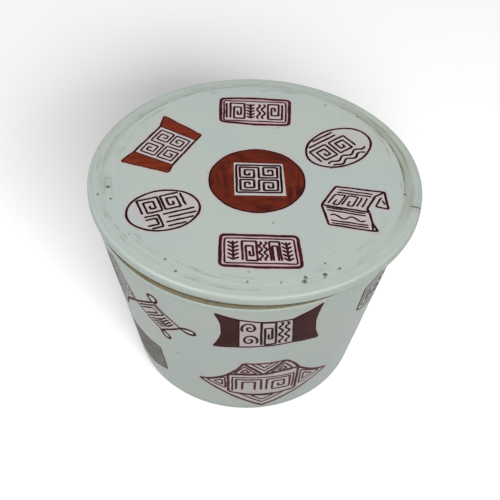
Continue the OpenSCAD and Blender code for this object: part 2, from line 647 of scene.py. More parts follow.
# %% [markdown]
# ## A patch of colour
# The broad areas of iron red are laid between the lines with a flat brush. Each is a thin slab: a grid of
# points on the drawing, lifted a little for its face and sunk for its back, with a wall along its rim.

# %% Slab
FILL_HEIGHT = 0.03


def is_turned_over(grid, wraps):
    """Whether the cells' areas add up to less than 0; each is the cross product of two sides of a cell."""
    here, after = (grid, np.roll(grid, -1, 0)) if wraps else (grid[:-1], grid[1:])
    across, up = (after - here)[:, :-1], np.diff(here, axis=1)
    return (across[..., 0] * up[..., 1] - across[..., 1] * up[..., 0]).sum() < 0


def slab(grid, place, wraps=False):
    """The grid's face lifted by the fill's height, its back sunk under the glaze, and a wall between them
    along each open side."""
    if is_turned_over(grid, wraps):
        grid = grid[:, ::-1]
    wide, high = grid.shape[:2]
    deep = wide * high
    flat = grid.reshape(-1, 2)
    face, _ = place(flat, np.full(len(flat), FILL_HEIGHT))
    under, _ = place(flat, np.full(len(flat), -BEAD_SUNK))
    index = np.arange(deep).reshape(wide, high)
    left, right = (index, np.roll(index, -1, 0)) if wraps else (index[:-1], index[1:])
    quads = np.stack((left[:, :-1], right[:, :-1], right[:, 1:], left[:, 1:]), -1).reshape(-1, 4)
    lower = quads[:, ::-1] + deep
    rims = [(left[:, 0], right[:, 0]), (right[:, -1], left[:, -1])]
    if not wraps:
        rims += [(index[0, 1:], index[0, :-1]), (index[-1, :-1], index[-1, 1:])]
    walls = [np.column_stack((a + deep, b + deep, b, a)) for a, b in rims]
    return np.vstack((face, under)), [np.vstack((quads, lower, *walls))], np.vstack((flat, flat))


def patch(bottom, top, cells=(14, 40)):
    """A grid ruled straight from one edge line to another: each edge is cut into equal parts."""
    shares = np.linspace(0, 1, cells[1])

    def even(line):
        """As many points, at equal distances along the line."""
        line = np.asarray(line, float)
        steps = np.linalg.norm(np.diff(line, axis=0), axis=1)
        along = np.concatenate(([0], np.cumsum(steps)))
        return np.column_stack([np.interp(shares * along[-1], along, column) for column in line.T])

    low, high = even(bottom), even(top)
    up_share = np.linspace(0, 1, cells[0])[None, :, None]
    return low[:, None] * (1 - up_share) + high[:, None] * up_share


print("a patch is a grid of", patch([(0, 0), (1, 0)], [(0, 1), (1, 1)]).shape[:2], "points")

# %% [markdown]
# ## Ornaments that fill the panels
# Each panel holds close, even brushwork. The fillings here are the plain stock of the trade: square coils
# in pairs, nested gates, waves, fishbone, lattice and scrolls. All are drawn in a unit square, so that one
# drawing can be put into any four-cornered field.

# %% Ornaments in a unit square
def coil(turns=2):
    """A square spiral: each side stops one gap short of the side before the last."""
    gap = 0.5 / turns
    corners = []
    for wind in range(turns):
        near, far = wind * gap, 1 - wind * gap
        corners += [(near, max(near - gap, 0)), (near, far), (far, far), (far, near)]
    return [np.array(corners + [(near + gap, near), (near + gap, 0.5)])]


def twin(turns=2):
    """Two coils drawn in one line: they share an upright, and one is the other turned half round."""
    right = coil(turns)[0] * (0.5, 1) + (0.5, 0)
    return [np.vstack((1 - right[::-1], right[2:]))]


def gates(count):
    """Nested gates: each goes up, across and down, and is open below."""
    shares = np.arange(count) / (2 * count)
    return [np.array([(s, 0), (s, 1 - 0.9 * s), (1 - s, 1 - 0.9 * s), (1 - s, 0)]) for s in shares]


def bars(count):
    """Upright lines, the inner ones a little shorter at alternate ends."""
    paths = []
    for place in range(count):
        cut = 0.12 if 0 < place < count - 1 else 0.0
        low, high = (cut, 1.0) if place % 2 else (0.0, 1.0 - cut)
        x = (place + 0.5) / count
        paths.append(np.array([(x, low), (x, high)]))
    return paths


def fishbone(pairs):
    """A stem with pairs of slanting ribs."""
    paths = [np.array([(0.5, 0.0), (0.5, 1.0)])]
    for pair in range(pairs):
        y = (pair + 0.15) / pairs
        rise = 0.7 / pairs
        paths.append(np.array([(0.02, y + rise), (0.5, y), (0.98, y + rise)]))
    return paths


def waves(lines, crests):
    """Sine lines one over another."""
    x = np.linspace(0, 1, 12 * crests)
    height = 0.32 / lines * np.sin(2 * np.pi * crests * x)
    return [np.column_stack((x, (line + 0.5) / lines + height)) for line in range(lines)]


def lattice(columns, rows):
    """Two families of zigzags that cross as diamonds."""
    x = np.linspace(0, 1, 2 * columns + 1)
    zig = np.tile((0, 1), columns + 1)[: 2 * columns + 1]
    paths = []
    for row in range(rows):
        paths.append(np.column_stack((x, (row + zig) / rows)))
        paths.append(np.column_stack((x, (row + 1 - zig) / rows)))
    return paths


def scroll(turns=1.6, hand=1):
    """A spiral whose radius grows with its angle."""
    angle = np.linspace(0.4, 2 * np.pi * turns, int(26 * turns))
    radius = 0.48 * angle / angle[-1]
    return [np.column_stack((0.5 + hand * radius * np.cos(angle), 0.5 + radius * np.sin(angle)))]


def part(drawing, left=0.0, right=1.0, low=0.0, high=1.0):
    """A drawing squeezed into a part of the unit square; it is mirrored where left is over right."""
    return [path * (right - left, high - low) + (left, low) for path in drawing]


def upright(drawing):
    """A drawing turned a quarter turn."""
    return [np.column_stack((path[:, 1], 1 - path[:, 0])) for path in drawing]


def in_field(drawing, corners):
    """Each place is a blend of the field's four corners: low left, low right, high right, high left."""
    low_left, low_right, high_right, high_left = np.asarray(corners, float)
    placed = []
    for path in drawing:
        path = dense(path, 0.04)
        u, v = path[:, :1], path[:, 1:]
        low = low_left * (1 - u) + low_right * u
        high = high_left * (1 - u) + high_right * u
        placed.append(low * (1 - v) + high * v)
    return placed


TWO_TWINS = part(twin(), 0, 1, 0, 0.45) + part(twin(), 1, 0, 0.55, 1)
print("corners in a twin coil:", len(twin()[0]))

# %% [markdown]
# ## Outlines
# The panels' frames are circles, oblongs, bowed lines and rounded corners, and many are turned a little,
# as a hand paints them.

# %% Outlines
def ring(centre, radius, start=0, steps=160, squash=1.0, turned_by=0.0):
    """A circle that is squashed across an axis and then turned by an angle in degrees."""
    angle = np.radians(np.linspace(start, start + 360, steps, endpoint=False))
    x, y = radius * np.cos(angle), squash * radius * np.sin(angle)
    c, s = math.cos(math.radians(turned_by)), math.sin(math.radians(turned_by))
    return np.column_stack((centre[0] + c * x - s * y, centre[1] + s * x + c * y))


def oblong(wide, high):
    """Four corners round the middle, at those distances from it."""
    return np.array([(-wide, -high), (wide, -high), (wide, high), (-wide, high)])


def spun(outline, degrees):
    """An outline turned about the middle of its drawing."""
    c, s = math.cos(math.radians(degrees)), math.sin(math.radians(degrees))
    return np.asarray(outline, float) @ np.array([(c, s), (-s, c)])


def bowed(first, last, bow, steps=24):
    """A line between two points whose middle is pushed sideways, to the left of its way, by the bow."""
    first, last = np.asarray(first, float), np.asarray(last, float)
    share = np.linspace(0, 1, steps)[:, None]
    way = last - first
    left = np.array((-way[1], way[0])) / np.linalg.norm(way)
    return first + way * share + left * bow * 4 * share * (1 - share)


def rounded(outline, reach, steps=7):
    """Each corner becomes a curve that leaves both its sides at that distance from it."""
    corner = np.asarray(outline, float)
    before, after = np.roll(corner, 1, 0) - corner, np.roll(corner, -1, 0) - corner
    start = corner + before * np.minimum(reach / np.linalg.norm(before, axis=1, keepdims=True), 0.5)
    stop = corner + after * np.minimum(reach / np.linalg.norm(after, axis=1, keepdims=True), 0.5)
    share = np.linspace(0, 1, steps)[None, :, None]
    bend = start[:, None] * (1 - share) ** 2 + 2 * corner[:, None] * share * (1 - share)
    return (bend + stop[:, None] * share**2).reshape(-1, 2)


def shrunk(outline, by, by_height=None):
    """An outline drawn in towards its middle by a share of its size, or by another one up and down."""
    outline = np.asarray(outline, float)
    middle = outline.mean(0)
    return middle + (outline - middle) * (1 - by, 1 - (by if by_height is None else by_height))


print("a rounded oblong has", len(rounded(oblong(2, 1), 0.5)), "points")

# %% [markdown]
# Ornament is cut off at an outline by keeping only the runs of a line that lie inside it. For that, two
# functions tell how far points are from an outline, and whether they are inside it.

# %% Inside an outline
CUT_STEP = 0.2
SHORTEST_RUN = 5
TINY = 1e-12


def gap_to(points, outline):
    """The least distance from each point to the closed outline's sides."""
    start = np.asarray(outline, float)
    side = np.roll(start, -1, 0) - start
    away = points[:, None] - start
    share = (away * side).sum(-1) / np.maximum((side**2).sum(-1), TINY)
    nearest = np.clip(share, 0, 1)[..., None] * side
    return np.linalg.norm(away - nearest, axis=-1).min(1)


def within(points, outline):
    """Whether a level ray from each point crosses the outline an odd number of times."""
    x, y = points[:, :1], points[:, 1:]
    x0, y0 = np.asarray(outline, float).T
    x1, y1 = np.roll(x0, -1), np.roll(y0, -1)
    spans = (y0 > y) != (y1 > y)
    crossing = x0 + (y - y0) * (x1 - x0) / np.where(y1 == y0, TINY, y1 - y0)
    return (spans & (x < crossing)).sum(1) % 2 == 1


def cut_to(drawing, outline, room):
    """The runs of each path that lie inside the outline, at least that much room away from it."""
    runs = []
    for path in drawing:
        path = dense(path, CUT_STEP)
        good = within(path, outline) & (gap_to(path, outline) > room)
        breaks = np.flatnonzero(np.diff(good.astype(int))) + 1
        for run, keep in zip(np.split(path, breaks), np.split(good, breaks)):
            if keep[0] and len(run) > SHORTEST_RUN:
                runs.append(run)
    return runs


inside_a_ring = cut_to(part(lattice(3, 3), -1, 1, -1, 1), ring((0, 0), 1), 0.1)
print("runs of a lattice inside a ring:", len(inside_a_ring))

# %% [markdown]
# ## One painted panel
# A panel is kept as a drawing in millimetres: lines with their widths, flat areas of colour, and the washes
# of thin rose between two outlines. The brush has five widths, from a hair to a bold frame.

# %% Panel
HAIR = 0.32
THIN = 0.62
LINE = 0.76
WIDE = 0.92
BOLD = 1.05


class Panel:
    """A drawing, the body that it is on, and the function that lays it there. A panel on the wall also has
    an azimuth in degrees from the front to the right, and a height. A faded one tints the glaze less."""

    def __init__(self, name, body, place, azimuth=0.0, height=0.0):
        self.name = name
        self.body = body
        self.place = place
        self.azimuth = azimuth
        self.height = height
        self.lines = []
        self.fills = []
        self.washes = []
        self.faded = False

    def line(self, path, width=LINE, closed=False):
        """One stroke of the brush."""
        self.lines.append((np.asarray(path, float), closed, width))

    def ornament(self, drawing, width=THIN):
        """Many strokes of one width."""
        for path in drawing:
            self.line(path, width)

    def fill(self, grid, wraps=False):
        """A broad area, as a grid of places that may close on itself."""
        self.fills.append((grid, wraps))

    def wash(self, outer, strength, inner=()):
        """A tint of the glaze inside one outline and outside another."""
        self.washes.append((np.asarray(outer, float), strength, np.asarray(inner, float)))

    def plate(self, outer, inner, rose, tint):
        """A bold and a thin outline with rose between them, and a tint inside both."""
        self.line(outer, BOLD, True)
        self.line(inner, THIN, True)
        self.wash(outer, rose, inner)
        self.wash(inner, tint)

    def hoop(self, outline, field, drawing, room):
        """An outline, and in it a drawing that stops at that room from it."""
        self.line(outline, LINE, True)
        self.ornament(cut_to(in_field(drawing, field), outline, room), LINE)


print("brush widths, mm:", (HAIR, THIN, LINE, WIDE, BOLD))

# %% [markdown]
# ## The panels on the lid
# Seven panels lie on the lid: a red medallion with a pale square in the middle, and six frames round it.
# Their corners are measured from the middle of the lid, x to the right and y to the back. The medallion's
# red is a grid between its rim and the square: each point on the rim is paired with one on the square.
# The square's corners are counted on past the first round, so that the pairing closes on itself.

# %% The medallion
def lid_panel(name):
    """A panel on the lid's flat top."""
    return Panel(name, "lid", on_lid)


DISC_AT = (0.5, -1.4)
DISC_R = 12.75
RIM_STEPS = 192
SQUARE = [(-5.27, -7.86), (8.44, -7.21), (7.28, 5.81), (-6.05, 5.51)]
SQUARE_LINE = [(-4.68, -6.54), (7.3, -6.0), (6.64, 5.0), (-5.36, 4.55)]
medallion = lid_panel("lid_medallion")
rim = ring(DISC_AT, DISC_R, steps=RIM_STEPS)
around = np.linspace(0, 2 * np.pi, RIM_STEPS, endpoint=False)
corner_angles = np.radians(-135 + 90 * np.arange(7))
corner_share = np.interp(around, corner_angles, np.arange(7))
square_loop = np.asarray(SQUARE + SQUARE, float)
hole = np.column_stack([np.interp(corner_share, np.arange(8), column) for column in square_loop.T])
inwards = np.linspace(0, 1, 16)[None, :, None]
medallion.fill(rim[:, None] * (1 - inwards) + hole[:, None] * inwards, wraps=True)
medallion.line(rim, LINE, True)
medallion.line(SQUARE_LINE, LINE, True)
medallion.wash(SQUARE, 0.45)
medallion.ornament(in_field(TWO_TWINS, shrunk(SQUARE_LINE, 0.16)), LINE)
print("lines in the medallion:", len(medallion.lines))

# %% [markdown]
# The plates in front and behind are rounded oblongs with a bold outer line, a thin inner one, and a wash
# of rose between the two.

# %% Two plates
BACK_PLATE = [(-10.55, 23.3), (-0.5, 22.5), (8.8, 22.9), (8.85, 34.2), (-2.5, 34.5), (-10.95, 33.8)]
BACK_INNER = [(-9.6, 23.9), (7.85, 24.1), (7.75, 33.2), (-9.95, 32.9)]
FRONT_PLATE = [(-7.9, -34.4), (3.4, -34.5), (12.9, -33.9), (11.5, -22.7), (-8.2, -23.2)]
FRONT_INNER = [(-6.75, -33.4), (11.75, -32.75), (10.5, -23.85), (-7.15, -24.4)]
OUTER_BEND, INNER_BEND = 1.3, 0.6
back_plate = lid_panel("lid_back_plate")
front_plate = lid_panel("lid_front_plate")
back_plate.plate(rounded(BACK_PLATE, OUTER_BEND), rounded(BACK_INNER, INNER_BEND), rose=1.15, tint=0.4)
front_plate.plate(rounded(FRONT_PLATE, OUTER_BEND), rounded(FRONT_INNER, INNER_BEND), rose=1.15, tint=0.4)
drawing = part(bars(1), -0.06, 0.02) + part(coil(), 0.05, 0.31) + part(fishbone(5), 0.34, 0.50)
drawing += part(upright(waves(2, 2)), 0.52, 0.70) + part(coil(), 1, 0.74, 1, 0)
back_plate.ornament(in_field(drawing, shrunk(BACK_INNER, 0.12, 0.25)), LINE)
drawing = part(fishbone(5), -0.02, 0.17) + part(coil(), 0.22, 0.45) + part(gates(2), 0.66, 0.82)
drawing += part(upright(waves(2, 3)), 0.47, 0.63) + part(fishbone(5), 0.85, 1.02)
front_plate.ornament(in_field(drawing, shrunk(FRONT_INNER, 0.11, 0.22)), LINE)
print("lines in the two plates:", len(back_plate.lines), len(front_plate.lines))

# %% [markdown]
# The banner has red bands at both ends, whose outer edges fan out.

# %% Banner
TIPS = np.array([(-26.5, 24.4), (-15.6, 16.8), (-23.4, 0.15), (-36.5, 3.8)])
JOINTS = np.array([(-27.1, 19.8), (-16.9, 14.35), (-22.6, 3.25), (-33.5, 8.1)])
BAND_CELLS = (10, 40)
banner = lid_panel("lid_banner")
banner.fill(patch(JOINTS[[0, 1]], TIPS[[0, 1]], BAND_CELLS))
banner.fill(patch(TIPS[[3, 2]], JOINTS[[3, 2]], BAND_CELLS))
banner.line(TIPS[[0, 1]], THIN)
banner.line(TIPS[[3, 2]], THIN)
banner.line([TIPS[0], JOINTS[0], JOINTS[3], TIPS[3]])
banner.line([TIPS[1], JOINTS[1], JOINTS[2], TIPS[2]])
banner.line(JOINTS[[0, 1]], THIN)
banner.line(JOINTS[[3, 2]], THIN)
banner.wash(JOINTS, 0.35)
banner.ornament(in_field(upright(TWO_TWINS), shrunk(JOINTS[::-1], 0.20)))
print("lines in the banner:", len(banner.lines))

# %% [markdown]
# Two frames are slanting ovals. The brushwork in them follows their slant and leaves one end bare.

# %% Two ovals
def slanted(at, left, low, right, high, degrees):
    """A field's corners in an oval's own axes, turned with it and moved to its middle."""
    return spun([(left, low), (right, low), (right, high), (left, high)], degrees) + at


UPPER_AT, UPPER_SLANT = (22.6, 14.1), 40.3
upper_round = lid_panel("lid_right_round")
outline = ring(UPPER_AT, 9.95, squash=0.75, turned_by=UPPER_SLANT)
drawing = part(upright(bars(2)), 0.06, 0.76, 0.80, 1.02) + part(coil(), 0.04, 0.41, 0.34, 0.74)
drawing += part(coil(), 0.86, 0.49, 0.34, 0.74) + part(waves(2, 3), 0.10, 0.98, 0.02, 0.27)
upper_round.hoop(outline, slanted(UPPER_AT, -8.4, -6.6, 6.6, 6.6, UPPER_SLANT), drawing, 0.5)
upper_round.wash(ring((21.8, 13.4), 8.8, squash=0.8, turned_by=UPPER_SLANT), 0.3)

LOWER_AT, LOWER_SLANT, LOWER_SQUASH = (-23.6, -15.0), 22.5, 0.78
lower_round = lid_panel("lid_left_round")
outline = ring(LOWER_AT, 9.77, squash=LOWER_SQUASH, turned_by=LOWER_SLANT)
drawing = part(coil(), 0.0, 0.40, 0.50, 0.94) + part(coil(), 0.86, 0.46, 0.50, 0.94)
drawing += part(upright(bars(4)), 0.36, 1.0, -0.06, 0.44) + part(upright(gates(2)), 0.0, 0.28, 0.02, 0.40)
lower_round.hoop(outline, slanted(LOWER_AT, -5.6, -6.2, 8.2, 6.2, LOWER_SLANT), drawing, 0.5)
lower_round.wash(ring((-22.6, -14.7), 8.4, squash=LOWER_SQUASH, turned_by=LOWER_SLANT), 0.4)
print("lines in the two ovals:", len(upper_round.lines), len(lower_round.lines))

# %% [markdown]
# The folded sheet is two leaves and a flap. Its lines are the edges of the paper and of its folds, and
# each leaf holds its own fretwork.

# %% Folded sheet
SHEET_A, SHEET_B, SHEET_C, SHEET_D = (21.6, -2.4), (34.6, -3.9), (35.4, -10.5), (32.0, -9.7)
SHEET_E, SHEET_CURL, SHEET_F, SHEET_G = (30.35, -12.1), (30.95, -16.4), (32.3, -19.2), (31.0, -19.3)
SHEET_H, SHEET_I = (19.65, -17.5), (17.75, -10.0)
FLAP_TOP, FLAP_FOOT = (32.0, -5.8), (29.7, -11.0)
UPPER_FIELD = [(19.2, -9.2), (29.4, -10.3), (31.4, -5.2), (22.3, -3.9)]
LOWER_FIELD = [(20.3, -16.7), (30.0, -18.0), (29.3, -12.8), (18.9, -10.9)]
sheet = lid_panel("lid_folded_sheet")
sheet.line([SHEET_I, SHEET_A, SHEET_B, SHEET_C, SHEET_D])
sheet.line([SHEET_B, FLAP_TOP, FLAP_FOOT, SHEET_E])
sheet.line([SHEET_E, SHEET_CURL, SHEET_F, SHEET_G, SHEET_H, SHEET_I, SHEET_E])
sheet.line([SHEET_D, (33.7, -6.0)], THIN)
sheet.line([(34.6, -8.9), (33.9, -7.2)], THIN)
sheet.line([SHEET_CURL, SHEET_G], THIN)
sheet.wash([SHEET_I, FLAP_FOOT, FLAP_TOP, SHEET_A], 0.6)
sheet.wash([SHEET_H, SHEET_G, SHEET_E, SHEET_I], 0.6)
drawing = part(upright(bars(2)), 0, 1, 0.76, 1.14) + part(coil(1), 0.02, 0.30, -0.02, 0.70)
drawing += part(coil(1), 0.38, 0.66, -0.02, 0.70) + part(bars(2), 0.70, 0.98, -0.02, 0.70)
sheet.ornament(in_field(drawing, UPPER_FIELD))
drawing = part(upright(bars(2)), 0, 1, 0.76, 1.10) + part(waves(1, 2), 0.04, 0.96, 0.30, 0.66)
drawing += part(upright(bars(2)), 0, 1, -0.10, 0.24)
sheet.ornament(in_field(drawing, LOWER_FIELD))
lid_panels = [medallion, back_plate, front_plate, banner, upper_round, lower_round, sheet]
print("panels on the lid:", len(lid_panels), "lines:", sum(len(p.lines) for p in lid_panels))

# %% [markdown]
# ## The panels on the wall
# The wall carries two rows of panels. Those in front follow the photograph; their corners are given as an
# azimuth, in degrees from the front to the right, and a height. A helper turns such corners into the
# panel's own flat drawing. The banner in front has two dark bands beside its middle field.

# %% Banner in front
def wall_panel(name, azimuth, height):
    """A panel wrapped round the wall, with the middle of its drawing at that azimuth and height."""
    return Panel(name, "box", on_wall(azimuth, height), azimuth, height)


def flat(panel, corners):
    """Azimuth and height to the panel's drawing: the arc from its middle, and the way up the slope."""
    azimuth, height = np.asarray(corners, float).T
    radius = BASE_R + LEAN * panel.height
    return np.column_stack((np.radians(azimuth - panel.azimuth) * radius, (height - panel.height) * REACH))


TOP_EDGE = [(-10.6, 52.4), (-2.0, 50.7), (4.9, 49.8), (11.0, 49.5), (17.8, 49.8), (28.4, 54.0)]
FOOT_EDGE = [(-12.0, 36.7), (-1.9, 37.6), (5.8, 38.0), (12.0, 38.1), (19.6, 38.4), (30.7, 37.2)]
front_banner = wall_panel("wall_front_banner", 9.5, 45)
top_edge, foot_edge = flat(front_banner, TOP_EDGE), flat(front_banner, FOOT_EDGE)
left_end = bowed(foot_edge[0], top_edge[0], -2.1)
right_end = bowed(foot_edge[-1], top_edge[-1], 1.6)
middle = flat(front_banner, [(-1.9, 37.7), (19.6, 38.5), (17.8, 49.6), (-2.0, 50.5)])
front_banner.line(top_edge)
front_banner.line(foot_edge)
front_banner.line(left_end, THIN)
front_banner.line(right_end, THIN)
front_banner.fill(patch(left_end, middle[[0, 3]], (12, 30)))
front_banner.fill(patch(middle[[1, 2]], right_end, (14, 30)))
front_banner.line(middle[[0, 3]], THIN)
front_banner.line(middle[[1, 2]], THIN)
front_banner.wash(middle, 0.75)
drawing = part(scroll(1.6), -0.02, 0.34, 0.48, 1.0) + part(scroll(1.6, -1), -0.02, 0.34, -0.04, 0.48)
drawing += part(coil(), 0.40, 0.70) + part(upright(waves(2, 3)), 0.74, 1.0)
front_banner.ornament(in_field(drawing, shrunk(middle, 0.11)), LINE)
print("lines in the front banner:", len(front_banner.lines))

# %% [markdown]
# Under the banner is a boat-shaped figure: a middle field, a tip at each side, a point below, and on top
# two shoulders with a V between them. All its triangles hold smaller ones.

# %% Boat in front
boat = wall_panel("wall_front_boat", 11, 18)
TIP_L, UP_L, SHOULDER_L, V_FOOT = flat(boat, [(-20.0, 17.9), (-6.3, 22.7), (0.4, 29.0), (9.6, 22.9)])
SHOULDER_R, UP_R, TIP_R, KEEL = flat(boat, [(18.7, 29.3), (25.6, 23.8), (43.3, 16.4), (10.8, 5.8)])
LOW_L, LOW_R = flat(boat, [(-6.4, 13.4), (26.6, 12.2)])
V_TOP = (SHOULDER_L + SHOULDER_R) / 2 + (0, -0.3)
left_edge = np.vstack((bowed(TIP_L, UP_L, -0.7), bowed(UP_L, SHOULDER_L, -0.4)))
right_edge = np.vstack((bowed(SHOULDER_R, UP_R, 0.3), bowed(UP_R, TIP_R, -0.7)))
low_edge = np.vstack((bowed(TIP_L, KEEL, -0.4), bowed(KEEL, TIP_R, -0.4)))
for path in (left_edge, right_edge, low_edge, [UP_L, LOW_L], [UP_R, LOW_R], bowed(LOW_L, LOW_R, -1.0)):
    boat.line(path, WIDE)
for path in ([SHOULDER_L, V_FOOT, SHOULDER_R], bowed(UP_L, V_FOOT, 0.3), bowed(V_FOOT, UP_R, 0.3)):
    boat.line(path, BOLD)
boat.line([SHOULDER_L, V_TOP, SHOULDER_R])


def nested(corners, pull, shares):
    """Smaller copies of a triangle, drawn in towards a blend of its corners."""
    corners = np.asarray(corners, float)
    heart = np.asarray(pull) @ corners / sum(pull)
    return [corners + (heart - corners) * share for share in shares]


for share in (0.34, 0.62):
    boat.line([point + (V_TOP - point) * share for point in (SHOULDER_L, V_FOOT, SHOULDER_R)], THIN)
for corners, pull, shares in (
    ((TIP_L, UP_L, LOW_L), (0.8, 1.0, 1.0), (0.36, 0.70)),
    ((TIP_R, UP_R, LOW_R), (0.8, 1.0, 1.0), (0.36, 0.70)),
    ((UP_L, SHOULDER_L, V_FOOT), (1.0, 0.9, 1.0), (0.38, 0.74)),
    ((UP_R, SHOULDER_R, V_FOOT), (1.0, 0.9, 1.0), (0.38, 0.74)),
    ((LOW_L, KEEL, LOW_R), (1.0, 0.8, 1.0), (0.34, 0.66)),
):
    for loop in nested(corners, pull, shares):
        boat.line(loop, THIN, True)
inner = flat(boat, [(-4.4, 13.9), (25.0, 13.2), (24.2, 21.0), (-4.4, 21.4)])
boat.line(np.vstack((bowed(inner[3], inner[2], 0.1), [inner[1]])), THIN)
boat.line(inner[[3, 0]], THIN)
boat.wash(np.vstack((left_edge, [V_FOOT], right_edge, low_edge[::-1])), 0.45)
drawing = part(gates(2), 0.0, 0.46) + part(coil(), 0.56, 1.0)
boat.ornament(in_field(drawing, shrunk(inner, 0.12, 0.26)), LINE)
print("lines in the boat:", len(boat.lines))

# %% [markdown]
# To the left of these is a frame drawn as a looped cord round a slanting field. Its left corner runs out
# into a hatched leaf, of which the photograph shows little more than the edge.

# %% Cord frame and hatched leaf
cord = wall_panel("wall_cord_frame", -36, 41)
cord_corners = flat(cord, [(-47.9, 40.8), (-36.4, 46.7), (-25.2, 40.2), (-35.5, 34.8)])
CORD_LEFT, CORD_TOP, CORD_RIGHT, CORD_LOW = cord_corners
cord_field = cord_corners[::-1]
for first, last in ((3, 2), (2, 1), (1, 0), (0, 3)):
    cord.line(cord_field[[first, last]])
for corners in ([(-49.3, 43.4), (-51.1, 45.8)], [(-51.5, 38.9), (-55.5, 37.0), (-59.0, 32.5)]):
    cord.line(np.vstack(([CORD_LEFT], flat(cord, corners))), THIN)


def eyelet(corner, towards, long, wide):
    """A loop that leaves a corner and comes back to it: a circle drawn out to that length and width, and
    narrower where it leaves."""
    loop = ring((0, 0), 0.5, start=180, steps=60)
    taper = 0.55 + 0.45 * np.clip(loop[:, 0] + 0.5, 0, 1)
    loop = np.column_stack(((loop[:, 0] + 0.5) * long, loop[:, 1] * wide * taper))
    return spun(loop, math.degrees(math.atan2(towards[1], towards[0]))) + corner


cord.line(eyelet(CORD_TOP, (0.05, 1.0), 3.2, 3.4), WIDE, True)
cord.line(eyelet(CORD_RIGHT, (1.0, -0.1), 4.1, 2.6), WIDE, True)
cord.line(eyelet(CORD_LOW, (0.65, -0.75), 3.4, 2.6), WIDE, True)
cord.wash(cord_field, 0.45)
drawing = part(upright(gates(2)), 0.0, 1.0, 0.54, 1.0) + part(fishbone(4), 0.0, 1.0, 0.0, 0.44)
cord.ornament(in_field(drawing, shrunk(cord_field, 0.20)))

LEAF = [
    (-48.5, 41.0), (-51.6, 46.4), (-56.4, 53.6), (-66.0, 50.5), (-70.0, 42.5), (-60.0, 32.4), (-56.0, 37.4)
]
LEAF_FIELD = [(-70.0, 33.0), (-48.6, 33.0), (-48.6, 53.6), (-70.0, 53.6)]
leaf = wall_panel("wall_hatched_leaf", -60, 43)
leaf.faded = True
outline = rounded(flat(leaf, LEAF), 1.6)
leaf.line(outline, THIN, True)
leaf.ornament(cut_to(in_field(lattice(5, 5), flat(leaf, LEAF_FIELD)), outline, 0.6), HAIR)
print("lines in the cord frame and the leaf:", len(cord.lines), len(leaf.lines))

# %% [markdown]
# Low down on the left is a plate of worn, greyish brown with fine hatching on it, and at the right edge a
# fan. The photograph shows both at a steep angle.

# %% Dark plate and fan
PLATE_CELLS = (14, 30)
dark_plate = wall_panel("wall_dark_plate", -52, 18)
dark_plate.faded = True
outline = flat(dark_plate, [(-63.5, 23.5), (-40.3, 23.5), (-39.6, 13.2), (-52.0, 10.5), (-64.0, 11.5)])
crest = (outline[0] + outline[1]) / 2
dark_plate.line(outline, LINE, True)
dark_plate.fill(patch(outline[[4, 0]], [outline[3], crest], PLATE_CELLS))
dark_plate.fill(patch([outline[3], crest], outline[[2, 1]], PLATE_CELLS))
field = shrunk(outline[[4, 2, 1, 0]], 0.10)
dark_plate.ornament(cut_to(in_field(lattice(6, 4), field), outline, 0.6), HAIR)

fan = wall_panel("wall_fan", 62, 44)
fan.faded = True
fan_corners = flat(fan, [(50.4, 39.4), (70.0, 37.0), (74.0, 50.5), (49.7, 49.6)])
FAN_LOW_L, FAN_LOW_R, FAN_UP_R, FAN_UP_L = fan_corners
fan_foot = bowed(FAN_LOW_L, FAN_LOW_R, -1.2)
fan_top = bowed(FAN_UP_L, FAN_UP_R, 1.4)
fan.line(fan_top)
fan.line(fan_foot)
fan.line([FAN_LOW_L, FAN_UP_L], BOLD)
fan.line([FAN_LOW_R, FAN_UP_R], BOLD)
inner_foot = bowed(FAN_LOW_L + (1.3, 1.2), FAN_LOW_R + (-1.2, 1.2), -1.0)
inner_top = bowed(FAN_UP_L + (1.3, -1.0), FAN_UP_R + (-1.4, -1.0), 1.2)
fan.line(np.vstack((inner_foot, inner_top[::-1])), THIN, True)
fan.wash(np.vstack((fan_foot, fan_top[::-1])), 0.25)
drawing = part(coil(), 0.0, 0.46) + part(waves(4, 2), 0.54, 1.0)
fan.ornament(in_field(drawing, shrunk(fan_corners, 0.34)), LINE)
print("lines in the plate and the fan:", len(dark_plate.lines), len(fan.lines))

# %% [markdown]
# The photograph doesn't show the far side. Such boxes carry the two rows all the way round, so the same
# kinds of frames go on there, filled with plain fretwork. Some are tilted by a few degrees, so that they
# don't look printed.

# %% Panels on the far side
def round_panel(name, azimuth, height, radius, drawing, squash=1.0):
    """A round or oval frame."""
    panel = wall_panel(name, azimuth, height)
    outline = ring((0, 0), radius, squash=squash)
    panel.hoop(outline, oblong(radius * 0.8, radius * 0.8 * squash), drawing, 0.3)
    panel.wash(outline, 0.35)
    return panel


def plate_panel(name, azimuth, height, wide, high, drawing, tilt=0.0):
    """A rounded oblong with two outlines."""
    panel = wall_panel(name, azimuth, height)
    outer = spun(rounded(oblong(wide, high), OUTER_BEND), tilt)
    inner = spun(rounded(oblong(wide - 1.4, high - 1.3), INNER_BEND), tilt)
    panel.plate(outer, inner, rose=1.5, tint=0.5)
    panel.ornament(in_field(drawing, spun(oblong(wide - 2.4, high - 2.4), tilt)))
    return panel


